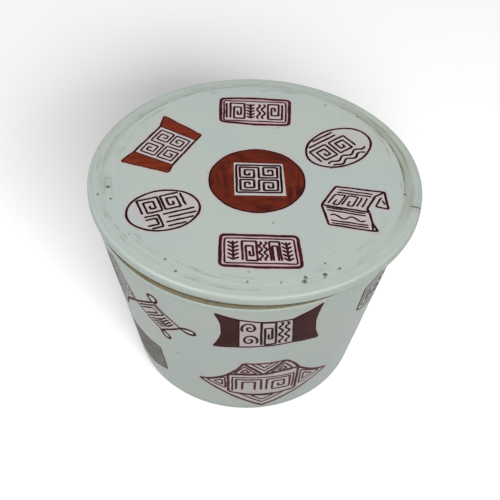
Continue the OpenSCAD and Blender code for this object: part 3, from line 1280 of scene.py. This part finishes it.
def banner_panel(name, azimuth, height, wide, high, drawing, tilt=0.0):
    """A middle field between two dark bands whose ends are drawn in."""
    panel = wall_panel(name, azimuth, height)
    corners = oblong(wide, high)
    edges = ((0, 1, 0.7), (3, 2, -0.9), (0, 3, -1.6), (1, 2, 1.6))
    low, top, left, right = [spun(bowed(corners[a], corners[b], bow), tilt) for a, b, bow in edges]
    middle = spun(oblong(wide * 0.5, high - 0.5), tilt)
    for path in (low, top, left, right, middle[[0, 3]], middle[[1, 2]]):
        panel.line(path)
    panel.fill(patch(left, middle[[0, 3]], (12, 30)))
    panel.fill(patch(middle[[1, 2]], right, (12, 30)))
    panel.wash(middle, 0.75)
    panel.ornament(in_field(drawing, shrunk(middle, 0.16)), LINE)
    return panel


COIL_AND_WAVES = part(coil(), 0.0, 0.52) + part(upright(waves(2, 2)), 0.62, 1.0)
COIL_AND_BONE = part(coil(), 0.0, 0.40) + part(fishbone(4), 0.46, 0.66) + part(coil(), 1.0, 0.72, 1.0, 0.0)
TWO_SCROLLS = part(scroll(2.1), 0.0, 0.47) + part(scroll(2.1, -1), 0.53, 1.0)
far_panels = [
    banner_panel("wall_upper_banner_left", -101, 43, 12.0, 6.6, twin(), 6),
    round_panel("wall_upper_round", -139, 43, 7.6, COIL_AND_WAVES),
    plate_panel("wall_upper_plate", -176, 43, 9.6, 5.8, COIL_AND_BONE, -4),
    round_panel("wall_upper_oval", 143, 43, 9.0, COIL_AND_BONE, 0.74),
    banner_panel("wall_upper_banner_right", 104, 43, 11.0, 6.4, waves(4, 2), -6),
    round_panel("wall_lower_round_right", 80, 18, 6.4, COIL_AND_WAVES),
    plate_panel("wall_lower_plate_right", 122, 17.5, 8.0, 4.8, twin(), 5),
    banner_panel("wall_lower_banner", 168, 17.5, 9.4, 5.2, TWO_SCROLLS),
    round_panel("wall_lower_round_left", -146, 18, 6.2, COIL_AND_WAVES),
    plate_panel("wall_lower_plate_left", -102, 17.5, 7.6, 4.8, TWO_SCROLLS, -5),
]
wall_panels = [front_banner, boat, cord, leaf, dark_plate, fan, *far_panels]
print("panels on the wall:", len(wall_panels), "lines:", sum(len(p.lines) for p in wall_panels))

# %% [markdown]
# ## The blush round the paint
# Iron in the enamel tints the glaze near every line, and a thin wash tints the fields inside the frames,
# which turns a cool grey-green into pink. Each turned skin keeps this as one number a vertex: a halo that
# fades with the distance from the nearest line, and over 1 where a wash of rose lies between two outlines.

# %% Blush
BLUSH_REACH = 1.2
BLUSH_PEAK = 0.9
BLUSH_FALL = 1.4
BLUSH_CORE = 1.15
FADED_SHARE = 0.25
SAMPLE_STEP = 0.5
CHUNK = 4000


def halo(distance):
    """Peak * (core - distance / reach) ** fall, where the bracket stays between 0 and 1."""
    return BLUSH_PEAK * np.clip(BLUSH_CORE - distance / BLUSH_REACH, 0, 1) ** BLUSH_FALL


def blush(drawn, panel):
    """At each place on the drawing the greatest of its washes and of the halo round the nearest line. The
    places go through in chunks, because each is measured against all the lines' points at once."""
    share = np.zeros(len(drawn))
    samples = np.vstack([dense(path, SAMPLE_STEP) for path, _, _ in panel.lines])
    low, high = samples.min(0) - BLUSH_REACH, samples.max(0) + BLUSH_REACH
    near = np.flatnonzero(((drawn > low) & (drawn < high)).all(1))
    if not len(near):
        return share
    places = drawn[near]
    distance = np.empty(len(near))
    for start in range(0, len(near), CHUNK):
        some = slice(start, start + CHUNK)
        distance[some] = np.linalg.norm(places[some, None] - samples, axis=-1).min(1)
    share[near] = (FADED_SHARE if panel.faded else 1.0) * halo(distance)
    for outer, strength, inner in panel.washes:
        inside = within(places, outer)
        if len(inner):
            inside &= ~within(places, inner)
        share[near] = np.maximum(share[near], strength * inside)
    return share


print("blush on a line and 1 mm from it:", np.round(halo(np.array([0.0, 1.0])), 2))

# %% [markdown]
# ## Glaze and bare clay
# The glaze is a cool, faintly green white that is never even: clouds of tone, a green tinge where it has
# pooled, iron specks, pinholes and worn, dusty scuffs. Where the potter wiped it off, on the rim, the foot
# ring and the lid's seat, the body shows as a rough, dirty buff.

# %% Colours of the glaze
GLAZE = rgb(178, 187, 181)
GLAZE_WARM = rgb(179, 187, 179)
GLAZE_COOL = rgb(175, 186, 183)
POOL = rgb(165, 177, 166)
BLUSHED = rgb(198, 166, 172)
ROSE = rgb(176, 126, 134)
CLAY = rgb(116, 109, 86)
CLAY_DARK = rgb(97, 90, 67)
SPECK = rgb(52, 58, 46)
SCUFF = rgb(118, 124, 104)
STAIN = rgb(96, 78, 52)
# The last grey is painted shade, for the lid's shoulder.
SHELF_SHADE = rgb(152, 154, 139)
print("the glaze as linear colour:", np.round(GLAZE[:3], 3))

# %% [markdown]
# The lid is worn along its rim: long smears beside the step, a stained line round the right of it, a short
# crack through the lip, and iron specks. Painted shade darkens a shelf outside the stained line, a grey line
# beyond it, and the sides and back of the rim. A speck is a radius and an azimuth in degrees, and a size. An
# arc is the azimuth of its middle and half its length, in radians. Both azimuths count from the front to the
# right.

# %% Marks on the lid's rim
SPECKS = (
    (39.7, 20.1, 0.45), (40.9, 19.1, 0.55), (40.4, 27.3, 0.50), (41.1, 26.6, 0.30), (40.1, 33.7, 0.30),
    (41.4, -26.8, 0.38), (39.6, -33.1, 0.32), (36.3, -1.1, 0.22), (39.8, -1.0, 0.30), (39.4, -80.0, 0.50),
    (42.4, -76.9, 0.45), (39.7, -85.0, 0.30), (39.5, -73.0, 0.30), (37.0, 30.1, 0.28), (34.5, 37.1, 0.18),
    (44.4, 51.5, 0.25), (40.2, 83.8, 0.28), (40.1, 135.1, 0.28), (39.7, -52.0, 0.24), (38.0, 150.0, 0.20),
)
CRACK_AT = math.radians(78.4)
# The shelf's arc and the grey line's arc hold painted shade; the other arcs are stains.
SHELF_SHADE_ARC = (1.80, 0.62)
SHADE_LINE_ARC = (2.02, 0.30)
STAIN_ARC = (2.03, 0.53)
DARKEST_ARC = (1.74, 0.10)
LEFT_ARC = (-2.49, 0.44)
FAINT_ARC = (0.55, 2.6)
SHADE_LINE_R = 42.1


def spotted(shader, middle, wobble):
    """1 inside every speck, whose edge is moved by the wobble."""
    found = None
    for away, degrees, size in SPECKS:
        turn = math.radians(degrees)
        spot = (away * math.sin(turn), -away * math.cos(turn), LID_TOP)
        here_spot = (shader.apart(middle, spot) + wobble).rise(size * 1.5, size * 0.6)
        found = here_spot if found is None else found.most(here_spot)
    return found


def rim_marks(shader, here, grain, colour):
    """The lid's wear and painted shade on its shoulder, laid over the colour. Returns it with the share that
    is worn.
    """
    middle = shader.add("Mapping", values={"Vector": here, "Location": (-LID_X, -LID_Y, 0)})
    x, y = shader.part(middle, 0), shader.part(middle, 1)
    radius = (x * x + y * y) ** 0.5
    azimuth = x.math("ARCTAN2", 0 - y)
    polar = shader.add("CombineXYZ", values={0: azimuth * 4.6, 1: radius * 1.1, 2: 0.0})
    smears = shader.noise(polar, 1.0, 4.0, 0.6)
    sway = shader.noise(shader.add("CombineXYZ", values={0: azimuth * 9.0, 1: 0.0, 2: 0.0}), 1.0, 3.0) - 0.5
    broken = shader.noise(polar, 2.2, 2.0).rise(0.40, 0.58)

    def near(place, soft=0.12):
        """1 along an arc, fading out softly at both its ends."""
        return (azimuth - place[0]).math("ABSOLUTE").rise(place[1] + soft, place[1] - soft)

    def line(radius_at, thick):
        """1 on a circle that sways a little."""
        return (radius + 0.7 * sway - radius_at).math("ABSOLUTE").rise(thick, thick * 0.2)

    band = radius.rise(36.0, 38.5) * radius.rise(43.4, 42.4)
    worn = band * smears.rise(0.50, 0.66) * shader.noise(here, 0.10, 2.0).rise(0.42, 0.54)
    colour = shader.mix(worn * 0.46, colour, SCUFF)
    # Painted shade: grey over the sides and back of the rim outside the panel, broken up by the smears.
    back_rim_shade = radius.rise(40.2, 41.2) * (azimuth.math("ABSOLUTE")).rise(1.0, 1.7) * smears.rise(0.35, 0.65)
    colour = shader.mix(back_rim_shade * 0.30, colour, SHELF_SHADE)
    # Painted shade: a darker grey shelf outside the stained line on the right.
    shelf_shade = radius.rise(39.9, 40.5) * radius.rise(43.6, 42.2) * near(SHELF_SHADE_ARC, 0.25)
    colour = shader.mix(shelf_shade * (0.15 + 0.62 * smears), colour, SHELF_SHADE)
    # Painted shade: a grey line round the right of the rim, in the scuff colour.
    colour = shader.mix(line(SHADE_LINE_R, 0.36) * near(SHADE_LINE_ARC) * (0.30 + 0.50 * broken), colour, SCUFF)
    stained = line(PANEL_R, 0.38) * near(STAIN_ARC) * (0.22 + 0.45 * broken)
    stained = stained.most(line(PANEL_R, 0.52) * near(DARKEST_ARC) * 0.75)
    faint = line(PANEL_R + 0.1, 0.34) * near(LEFT_ARC) * broken * 0.50
    faint = faint.most(line(PANEL_R + 0.1, 0.28) * near(FAINT_ARC) * broken * 0.09)
    colour = shader.mix(stained.most(faint), colour, STAIN)
    off_crack = (azimuth + 0.02 * sway - CRACK_AT).math("ABSOLUTE") * 42.0
    # A grey halo beside the crack, in the grey of the painted shade.
    colour = shader.mix(off_crack.rise(2.4, 0.4) * radius.rise(41.6, 42.4) * 0.35, colour, SHELF_SHADE)
    colour = shader.mix(off_crack.rise(0.34, 0.10) * radius.rise(42.0, 42.8) * 0.85, colour, SPECK)
    wobble = 0.9 * (shader.noise(here, 1.6, 2.0) - 0.5) + 0.3 * (grain - 0.5)
    return shader.mix(spotted(shader, middle, wobble) * 0.85, colour, SPECK), worn


print("specks on the lid:", len(SPECKS))

# %% [markdown]
# One recipe makes both glazes. The skins carry three numbers a vertex for it: how bare, how pooled, and
# how blushed.

# %% Two glazes
def porcelain(name, is_lid):
    """Glaze over clay. Its roughness and relief grow where it is worn, pitted or bare."""
    shader = Shader(name)
    here = shader.here()
    bare = shader.layer("bare")
    pool = shader.layer("pool")
    blushed = shader.layer("blush")
    clouds = shader.noise(here, 0.045, 3.0, 0.55)
    mottle = shader.noise(here, 0.45, 4.0, 0.6)
    grain = shader.noise(here, 3.2, 2.0)
    colour = shader.mix(clouds.rise(0.38, 0.62), GLAZE_WARM, GLAZE_COOL)
    colour = shader.mix(mottle.rise(0.3, 0.7) * 0.6, colour, GLAZE)
    colour = shader.mix((pool * (0.55 + 0.6 * mottle)).math("MINIMUM", 0.9), colour, POOL)
    colour = shader.mix(blushed.math("MINIMUM", 1.0) * (0.80 + 0.5 * (grain - 0.5)), colour, BLUSHED)
    colour = shader.mix(blushed.rise(1.0, 1.4) * (0.75 + 0.6 * (mottle - 0.5)), colour, ROSE)
    cells = {"Vector": here, "Scale": 0.19, "Randomness": 1.0}
    spots = shader.add("TexVoronoi", {"feature": "F1"}, cells, "Distance")
    chance = shader.noise(here, 0.11, 1.0).rise(0.54, 0.62)
    specks = (spots + 0.25 * (grain - 0.5)).rise(0.10, 0.06) * chance
    pits = shader.add("TexVoronoi", {"feature": "F1"}, {"Vector": here, "Scale": 0.55}, "Distance")
    pinholes = pits.rise(0.09, 0.05) * shader.noise(here, 0.23, 1.0).rise(0.50, 0.60)
    colour = shader.mix(specks * 0.6, colour, SPECK)
    colour = shader.mix(pinholes * 0.40, colour, SCUFF)
    worn = pool * 0.5
    if is_lid:
        colour, worn = rim_marks(shader, here, grain, colour)
    dirt = shader.noise(here, 0.8, 5.0, 0.7)
    clay = shader.mix(dirt.rise(0.35, 0.7), CLAY, CLAY_DARK)
    is_bare = (bare + 0.25 * (mottle - 0.5)).rise(0.40, 0.60)
    colour = shader.mix(is_bare, colour, clay)
    rough = 0.17 + 0.10 * mottle + 0.22 * worn + 0.5 * is_bare
    relief = 0.5 * shader.noise(here, 0.35, 3.0) + 0.06 * grain - 0.6 * pinholes + is_bare * dirt * 0.7
    normal = shader.bump(relief, 0.35, 0.10)
    return shader.finish(Base_Color=colour, Roughness=rough, Normal=normal, IOR=1.5)


box_glaze = porcelain("glazed_box", False)
lid_glaze = porcelain("glazed_lid", True)
print("nodes in the lid's glaze:", len(lid_glaze.node_tree.nodes))

# %% [markdown]
# ## Enamels
# The line enamel is redder where it thins at its edges. The iron red of the broad areas was laid with a
# flat brush, so it is streaked along the stroke from dark to a bright orange red.

# %% Recipes for enamel
DULL = 0.1
SIDE_SWAP = 1.5


def line_enamel(name, core, rim):
    """One colour down the middle of each line and a redder one where the paint thins at its edges."""
    shader = Shader(name)
    here = shader.here()
    edge = shader.layer("edge")
    thin = shader.noise(here, 0.9, 3.0)
    share = (edge * edge * 0.8 + 1.2 * (thin - 0.45)).math("ADD", 0.0, clamp=True)
    colour = shader.mix(share, core, rim)
    normal = shader.bump(shader.noise(here, 4.0, 2.0), 0.25, 0.03)
    rough = 0.34 + 0.15 * thin
    return shader.finish(Base_Color=colour, Roughness=rough, Normal=normal, Specular_IOR_Level=DULL)


def brushed_enamel(name, tones, stretch, heart=None):
    """Streaks between two tones, with a brighter one here and there. Round a heart the strokes lie along
    above and below it, and upright on both its sides."""
    shader = Shader(name)
    brush = shader.add("UVMap", {"uv_map": "brush"})
    swayed = shader.noise(brush, 0.25, 2.0)
    patches = shader.noise(brush, 0.16, 2.0)
    along = shader.noise(shader.stretched(brush, stretch), 1.0, 4.0, 0.5, 0.6)
    across = shader.noise(shader.stretched(brush, (stretch[1], stretch[0], 1.0)), 1.0, 4.0, 0.5, 0.6)
    streaks = along
    if heart is not None:
        away = [(shader.part(brush, axis) - heart[axis]).math("ABSOLUTE") for axis in (0, 1)]
        streaks = along + (away[0] - away[1]).rise(-SIDE_SWAP, SIDE_SWAP) * (across - along)
    dark, middle, bright = tones
    colour = shader.mix(streaks.rise(0.34, 0.58), dark, middle)
    lit = (streaks * 0.5 + swayed * 0.6).rise(0.54, 0.74) * patches.rise(0.40, 0.65)
    colour = shader.mix(lit * 0.8, colour, bright)
    normal = shader.bump(streaks, 0.3, 0.04)
    rough = 0.34 + 0.2 * streaks
    return shader.finish(Base_Color=colour, Roughness=rough, Normal=normal, Specular_IOR_Level=DULL)


print("specular level of every enamel:", DULL, "where 0.5 is usual")

# %% [markdown]
# Most lines on the lid are a very dark brown-red, and most on the wall a lighter brown. Two plates on the
# lid are drawn in crimson. The panels at the photograph's left edge look grey, and the fan at its right
# edge smoky.

# %% Paints
DISC_TONES = rgb(66, 25, 21), rgb(99, 37, 24), rgb(124, 54, 31)
BAND_TONES = rgb(100, 36, 22), rgb(116, 46, 27), rgb(136, 60, 34)
MAROON_TONES = rgb(52, 20, 19), rgb(64, 29, 27), rgb(78, 40, 37)
FADED_TONES = rgb(108, 105, 99), rgb(126, 124, 117), rgb(146, 145, 136)
dark_lines = line_enamel("dark_line_enamel", rgb(26, 13, 14), rgb(64, 32, 35))
crimson_lines = line_enamel("crimson_line_enamel", rgb(44, 19, 23), rgb(96, 44, 50))
brown_lines = line_enamel("brown_line_enamel", rgb(62, 37, 35), rgb(108, 70, 65))
grey_lines = line_enamel("faded_line_enamel", rgb(76, 72, 67), rgb(110, 106, 99))
smoky_lines = line_enamel("smoky_line_enamel", rgb(50, 46, 43), rgb(78, 73, 68))
disc_paint = brushed_enamel("iron_red_enamel", DISC_TONES, (0.10, 0.40, 1.0), DISC_AT)
band_paint = brushed_enamel("orange_red_enamel", BAND_TONES, (0.12, 0.5, 1.0))
maroon_paint = brushed_enamel("maroon_enamel", MAROON_TONES, (0.5, 0.10, 1.0))
faded_paint = brushed_enamel("faded_brown_enamel", FADED_TONES, (0.5, 0.5, 1.0))
line_paints = {
    "lid_back_plate": crimson_lines,
    "lid_front_plate": crimson_lines,
    "wall_front_banner": dark_lines,
    "wall_cord_frame": dark_lines,
    "wall_hatched_leaf": grey_lines,
    "wall_dark_plate": grey_lines,
    "wall_fan": smoky_lines,
}
fill_paints = {"lid_medallion": disc_paint, "wall_dark_plate": faded_paint}
print("panels with lines of their own colour:", len(line_paints))

# %% [markdown]
# Each panel becomes one piece of all its lines and, where it has broad areas, a second one of these. Both
# ride on the panel's body.

# %% Painted pieces
def paint(panel, line_paint, fill_paint):
    """The panel's lines as one piece and its broad areas as another."""
    parts = [bead(path, closed, width, panel.place) for path, closed, width in panel.lines]
    points, faces, edge = joined(parts)
    new_piece(panel.name + "_lines", points, faces, panel.body, line_paint, {"edge": edge})
    if panel.fills:
        slabs = [slab(grid, panel.place, wraps) for grid, wraps in panel.fills]
        points, faces, flat_places = joined(slabs)
        name = panel.name + "_colour"
        new_piece(name, points, faces, panel.body, fill_paint, uv=flat_places)


for panels, usual_lines, usual_fill in (
    (lid_panels, dark_lines, band_paint),
    (wall_panels, brown_lines, maroon_paint),
):
    for panel in panels:
        line_paint = line_paints.get(panel.name, usual_lines)
        paint(panel, line_paint, fill_paints.get(panel.name, usual_fill))
painted = [piece.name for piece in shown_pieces() if piece.name.endswith(("_lines", "_colour"))]
print("painted pieces:", len(painted))

# %% [markdown]
# ## The box
# The profile goes from the glazed hollow under the foot over the bare ring, round the heel, up the leaning
# wall, over the bare rim and down inside to the floor. The glaze rounds every corner a little.

# %% The box's profile
heel_centre_r = BASE_R + HEEL_ROUND * (LEAN - REACH)
foot_inner_r = heel_centre_r - FOOT_RING_W
inner_mouth_r = MOUTH_R - WALL_T
inner_centre_r = BASE_R - WALL_T + LEAN * FLOOR_T + INNER_ROUND * (LEAN - REACH)
underside = [(0, FOOT_RECESS), (foot_inner_r - FOOT_SLOPE_W, FOOT_RECESS), (foot_inner_r, 0)]
heel = arc((heel_centre_r, HEEL_ROUND), HEEL_ROUND, -90, -LEAN_DEG)
rim_line = [
    (MOUTH_R - LEAN * RIM_CHAMFER, BOX_H - RIM_CHAMFER),
    (MOUTH_R - RIM_CHAMFER, BOX_H),
    (inner_mouth_r + RIM_CHAMFER, BOX_H),
    (inner_mouth_r - LEAN * RIM_CHAMFER, BOX_H - RIM_CHAMFER),
]
inner_corner = arc((inner_centre_r, FLOOR_T + INNER_ROUND), INNER_ROUND, -LEAN_DEG, -90)
outside = dense(np.vstack((underside, heel[:1])), 0.8)
wall = dense(np.vstack((heel, rim_line[:1])), 0.62)
over = dense(rim_line, 0.25)
inside = dense(np.vstack((rim_line[-1:], inner_corner, [(0, FLOOR_T)])), 1.5)
profile = softened(np.vstack((outside[:-1], wall[:-1], over[:-1], inside)), 2)
profile[:, 1] = np.minimum(profile[:, 1], BOX_H)
print("rows in the box's profile:", len(profile))

# %% [markdown]
# Each point learns how bare, pooled and blushed it is. The foot ring and the rim are bare, and the glaze
# has pooled low on the wall and under the rim. A point that no paint can reach is sent far off the drawing.

# %% Box skin
SIDES = 448
FAR_OFF = 99.0
UNPAINTED_H = 3
POOL_H = 3.0
RIM_POOL_DROP = 1.2
points, quads, fans, row = turned(profile, SIDES, (0.0, 0.0), wander)
radius, height = profile[row, 0], profile[row, 1]
outer = row < len(outside) + len(wall) - 2
on_ring = np.clip(1.2 - height / 0.5, 0, 1) * (radius > foot_inner_r - 1) * outer
on_rim = np.clip((height - BOX_H + 0.5) / 0.35, 0, 1)
bare = np.maximum(on_ring, on_rim)
low_pool = np.clip(1 - np.abs(height - POOL_H) / 3.5, 0, 1) * outer * 0.6
rim_pool = np.clip(1 - (BOX_H - RIM_POOL_DROP - height) / 2.2, 0, 1) * (1 - on_rim) * 0.5
flush = np.zeros(len(points))
for panel in wall_panels:
    drawn = from_wall(panel.azimuth, panel.height, points)
    drawn[~outer | (height < UNPAINTED_H)] = FAR_OFF
    flush = np.maximum(flush, blush(drawn, panel))
layers = {"bare": bare, "pool": np.maximum(low_pool, rim_pool), "blush": flush}
box_skin = new_piece("box_skin", points, [quads, fans], "box", box_glaze, layers)
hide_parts("box_body")
blushed_percent = round(100 * float((flush > 0).mean()))
print("box skin:", len(quads), "quads, with a blush on", blushed_percent, "% of its points")

# %% [markdown]
# ## The lid
# From the middle of the underside the profile goes round the locating flange, over the bare seat, round
# the lip, and over a soft step to the flat panel.

# %% The lid's profile
flange_in_r = FLANGE_R - FLANGE_T
flange_end = (FLANGE_T - FLANGE_DRAFT) / 2
beneath = np.vstack((
    [(0, 0)],
    arc((flange_in_r - FLANGE_COVE, -FLANGE_COVE), FLANGE_COVE, 90, 0, 8),
    arc((flange_in_r + flange_end, -FLANGE_H + flange_end), flange_end, 180, 360, 14),
    arc((FLANGE_R + FLANGE_COVE, -FLANGE_COVE), FLANGE_COVE, 180, 90, 8),
    arc((LID_R - LOWER_ROUND, LOWER_ROUND), LOWER_ROUND, -90, 0, 8),
))
upper_lip = arc((LID_R - LIP_ROUND, LID_EDGE_T - LIP_ROUND), LIP_ROUND, 0, 78, 12)
lip = np.vstack(([(LID_R, LOWER_ROUND)], upper_lip))
step_top = (PANEL_R, LID_EDGE_T + PANEL_RISE)
below = dense(beneath, 1.3)
side = dense(lip, 0.3)
shoulder = dense([lip[-1], (PANEL_R + STEP_W, LID_EDGE_T + PANEL_RISE / 4), step_top], 0.3)
flat_top = dense([step_top, (0, step_top[1])], 0.42)
lid_profile = softened(np.vstack((below[:-1], side[:-1], shoulder[:-1], flat_top)), 2)
lid_profile[:, 1] += BOX_H
print("rows in the lid's profile:", len(lid_profile))

# %% [markdown]
# The softened seat is laid back on the rim, level. It is bare from just outside the flange to just inside
# the lip, and so is the flange's free edge. The glaze has pooled at the step and a little at the lip.

# %% Lid skin
LID_SIDES = 400
SEAT_FROM, SEAT_TO = 31.6, 44.3
EDGE_DEPTH = 3.6
LIP_FROM = 43.5
seat = (lid_profile[:, 0] > FLANGE_R + FLANGE_COVE) & (lid_profile[:, 1] < BOX_H + 0.03)
lid_profile[seat, 1] = BOX_H
points, quads, fans, row = turned(lid_profile, LID_SIDES, (LID_X, LID_Y), lid_wander)
radius, height = lid_profile[row, 0], lid_profile[row, 1] - BOX_H
under = row < len(below)
on_seat = np.clip((radius - SEAT_FROM) / 0.8, 0, 1) * np.clip((SEAT_TO - radius) / 0.6, 0, 1) * under
on_edge = under * np.clip((-height - EDGE_DEPTH) / 0.8, 0, 1)
step_pool = np.clip(1 - np.abs(radius - PANEL_R - 1.0) / 1.5, 0, 1) * ~under * 0.5
lip_pool = 0.3 * (radius > LIP_FROM) * ~under
flush = np.zeros(len(points))
drawn = points[:, :2] - (LID_X, LID_Y)
drawn[under | (radius > PANEL_R)] = FAR_OFF
for panel in lid_panels:
    flush = np.maximum(flush, blush(drawn, panel))
layers = {"bare": np.maximum(on_seat, on_edge), "pool": np.maximum(step_pool, lip_pool), "blush": flush}
lid_skin = new_piece("lid_skin", points, [quads, fans], "lid", lid_glaze, layers)
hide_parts("lid")
blushed_percent = round(100 * float((flush > 0).mean()))
print("lid skin:", len(quads), "quads, with a blush on", blushed_percent, "% of its points")

# %% [markdown]
# ## The seal paste
# Seal paste is ground cinnabar worked into castor oil and fluffy plant fibre. It is turned over with a
# spatula into a heap. The heap's profile is a quarter of an ellipse under the belly and a crown over it.

# %% The heap's profile
CAKE_R = (paste_high.x - paste_low.x) / 2 / MM
CAKE_TOP = paste_high.z / MM
CAKE_BELLY = 5.5
CAKE_REST_R = 18.0
CROWN_POWER = 0.8
quarter = np.radians(np.linspace(0, 90, 30))
lower_cake = np.column_stack((
    CAKE_REST_R + (CAKE_R - CAKE_REST_R) * np.sin(quarter),
    CAKE_BELLY * (1 - np.cos(quarter)),
))
quarter = np.radians(np.linspace(0, 90, 110))[1:]
crown = CAKE_TOP - FLOOR_T - CAKE_BELLY
upper_cake = np.column_stack((CAKE_R * np.cos(quarter), CAKE_BELLY + crown * np.sin(quarter) ** CROWN_POWER))
cake = np.vstack((dense([(0, 0), lower_cake[0]], 1.0)[:-1], lower_cake, upper_cake))
cake[:, 1] += FLOOR_T
cake[-1, 0] = 0
print("rows in the heap's profile:", len(cake))

# %% [markdown]
# Broad folds wind up to the crown, and lumps lie between them. The points of the turned heap are pushed
# along their normals by both, more and more from the floor upwards. The normal comes from the profile's
# slope: where the profile moves by (a, b), it points along (b, -a).

# %% The heap's folds
PASTE_SIDES = 360
FOLD_DEPTH = 0.9
LUMP_DEPTH = 0.35
CRUMB_DEPTH = 0.10
FOLDS = 3
CALM_R = 5
SUNK = 0.35
POLE_R = 0.01


def rough_sum(points, scale, count, seed):
    """A sum of waves in random directions, whose lengths lie near the scale; its mean is 0."""
    draw = np.random.default_rng(seed)
    ways = draw.normal(size=(count, 3))
    ways *= 2 * np.pi / scale / np.linalg.norm(ways, axis=1, keepdims=True)
    ways *= draw.uniform(0.6, 1.6, (count, 1))
    shifts = draw.uniform(0, 2 * np.pi, count)
    return np.sin(points @ ways.T + shifts).sum(1) / math.sqrt(count)


def steady(angle, height):
    """No wander at any angle and height."""
    return 0 * angle * height


points, quads, fans, row = turned(cake, PASTE_SIDES, (0.0, 0.0), steady)
angle = np.arctan2(points[:, 1], points[:, 0])
radius = np.hypot(points[:, 0], points[:, 1])
winding = FOLDS * angle + 0.30 * radius + 0.9 * rough_sum(points, scale=16, count=10, seed=3)
fold = np.abs(np.sin(winding / 2 + 0.6)) ** 0.6 - 0.75
push = FOLD_DEPTH * fold * np.clip(radius / CALM_R, 0, 1)
push += LUMP_DEPTH * rough_sum(points, scale=5, count=24, seed=5)
push += CRUMB_DEPTH * rough_sum(points, scale=1.3, count=40, seed=6)
push = (push - SUNK) * np.clip((points[:, 2] - FLOOR_T - 1.5) / 4, 0, 1)
slope = np.gradient(cake, axis=0)[row]
slope /= np.maximum(np.linalg.norm(slope, axis=1, keepdims=True), 1e-9)
out = np.column_stack((slope[:, 1] * np.cos(angle), slope[:, 1] * np.sin(angle), -slope[:, 0]))
at_pole = radius < POLE_R
out[at_pole] = (0, 0, 1)
out[at_pole & (points[:, 2] < FLOOR_T + 1)] = (0, 0, -1)
points = points + out * push[:, None]
points[:, 2] = np.clip(points[:, 2], FLOOR_T, CAKE_TOP)
print("the folds push the heap by", round(push.min(), 2), "to", round(push.max(), 2), "mm")

# %% [markdown]
# The paste is a deep scarlet, with painted shade in its creases, fine fibres and an oily shine.

# %% Paste
PASTE = rgb(176, 24, 18)
# The deep red is painted shade for the creases.
PASTE_DEEP_SHADE = rgb(118, 10, 12)
PASTE_BRIGHT = rgb(206, 48, 28)
shader = Shader("cinnabar_paste")
here = shader.here()
crease_shade = shader.layer("crease_shade")
fibre_a = shader.noise(shader.stretched(here, (4.0, 0.7, 1.2), (0.3, 0.2, 0.9)), 0.8, 3.0)
fibre_b = shader.noise(shader.stretched(here, (0.7, 4.0, 1.4), (0.1, 0.5, 0.4)), 0.8, 3.0)
fibres = fibre_a.most(fibre_b)
tone = shader.noise(here, 0.25, 3.0)
colour = shader.mix(tone.rise(0.3, 0.7), PASTE, PASTE_BRIGHT)
# Painted shade: the creases turn a deeper red, broken a little by the fibres.
colour = shader.mix((crease_shade + 0.4 * (0.5 - fibres)).rise(0.45, 0.95), colour, PASTE_DEEP_SHADE)
colour = shader.mix(fibres.rise(0.62, 0.75) * 0.35, colour, PASTE_BRIGHT)
normal = shader.bump(fibres + 0.5 * shader.noise(here, 2.2, 3.0), 0.6, 0.25)
rough = 0.30 + 0.3 * fibres
oily = {"Coat_Weight": 0.5, "Coat_Roughness": 0.12}
paste = shader.finish(Base_Color=colour, Roughness=rough, Normal=normal, **oily)
# The painted shade is strongest in the troughs of the folds.
creases = {"crease_shade": np.clip(0.5 - fold, 0, 1)}
cake_piece = new_piece("paste_heap", points, [quads, fans], "box", paste, creases)
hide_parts("seal_paste")
print("paste heap:", len(quads), "quads")
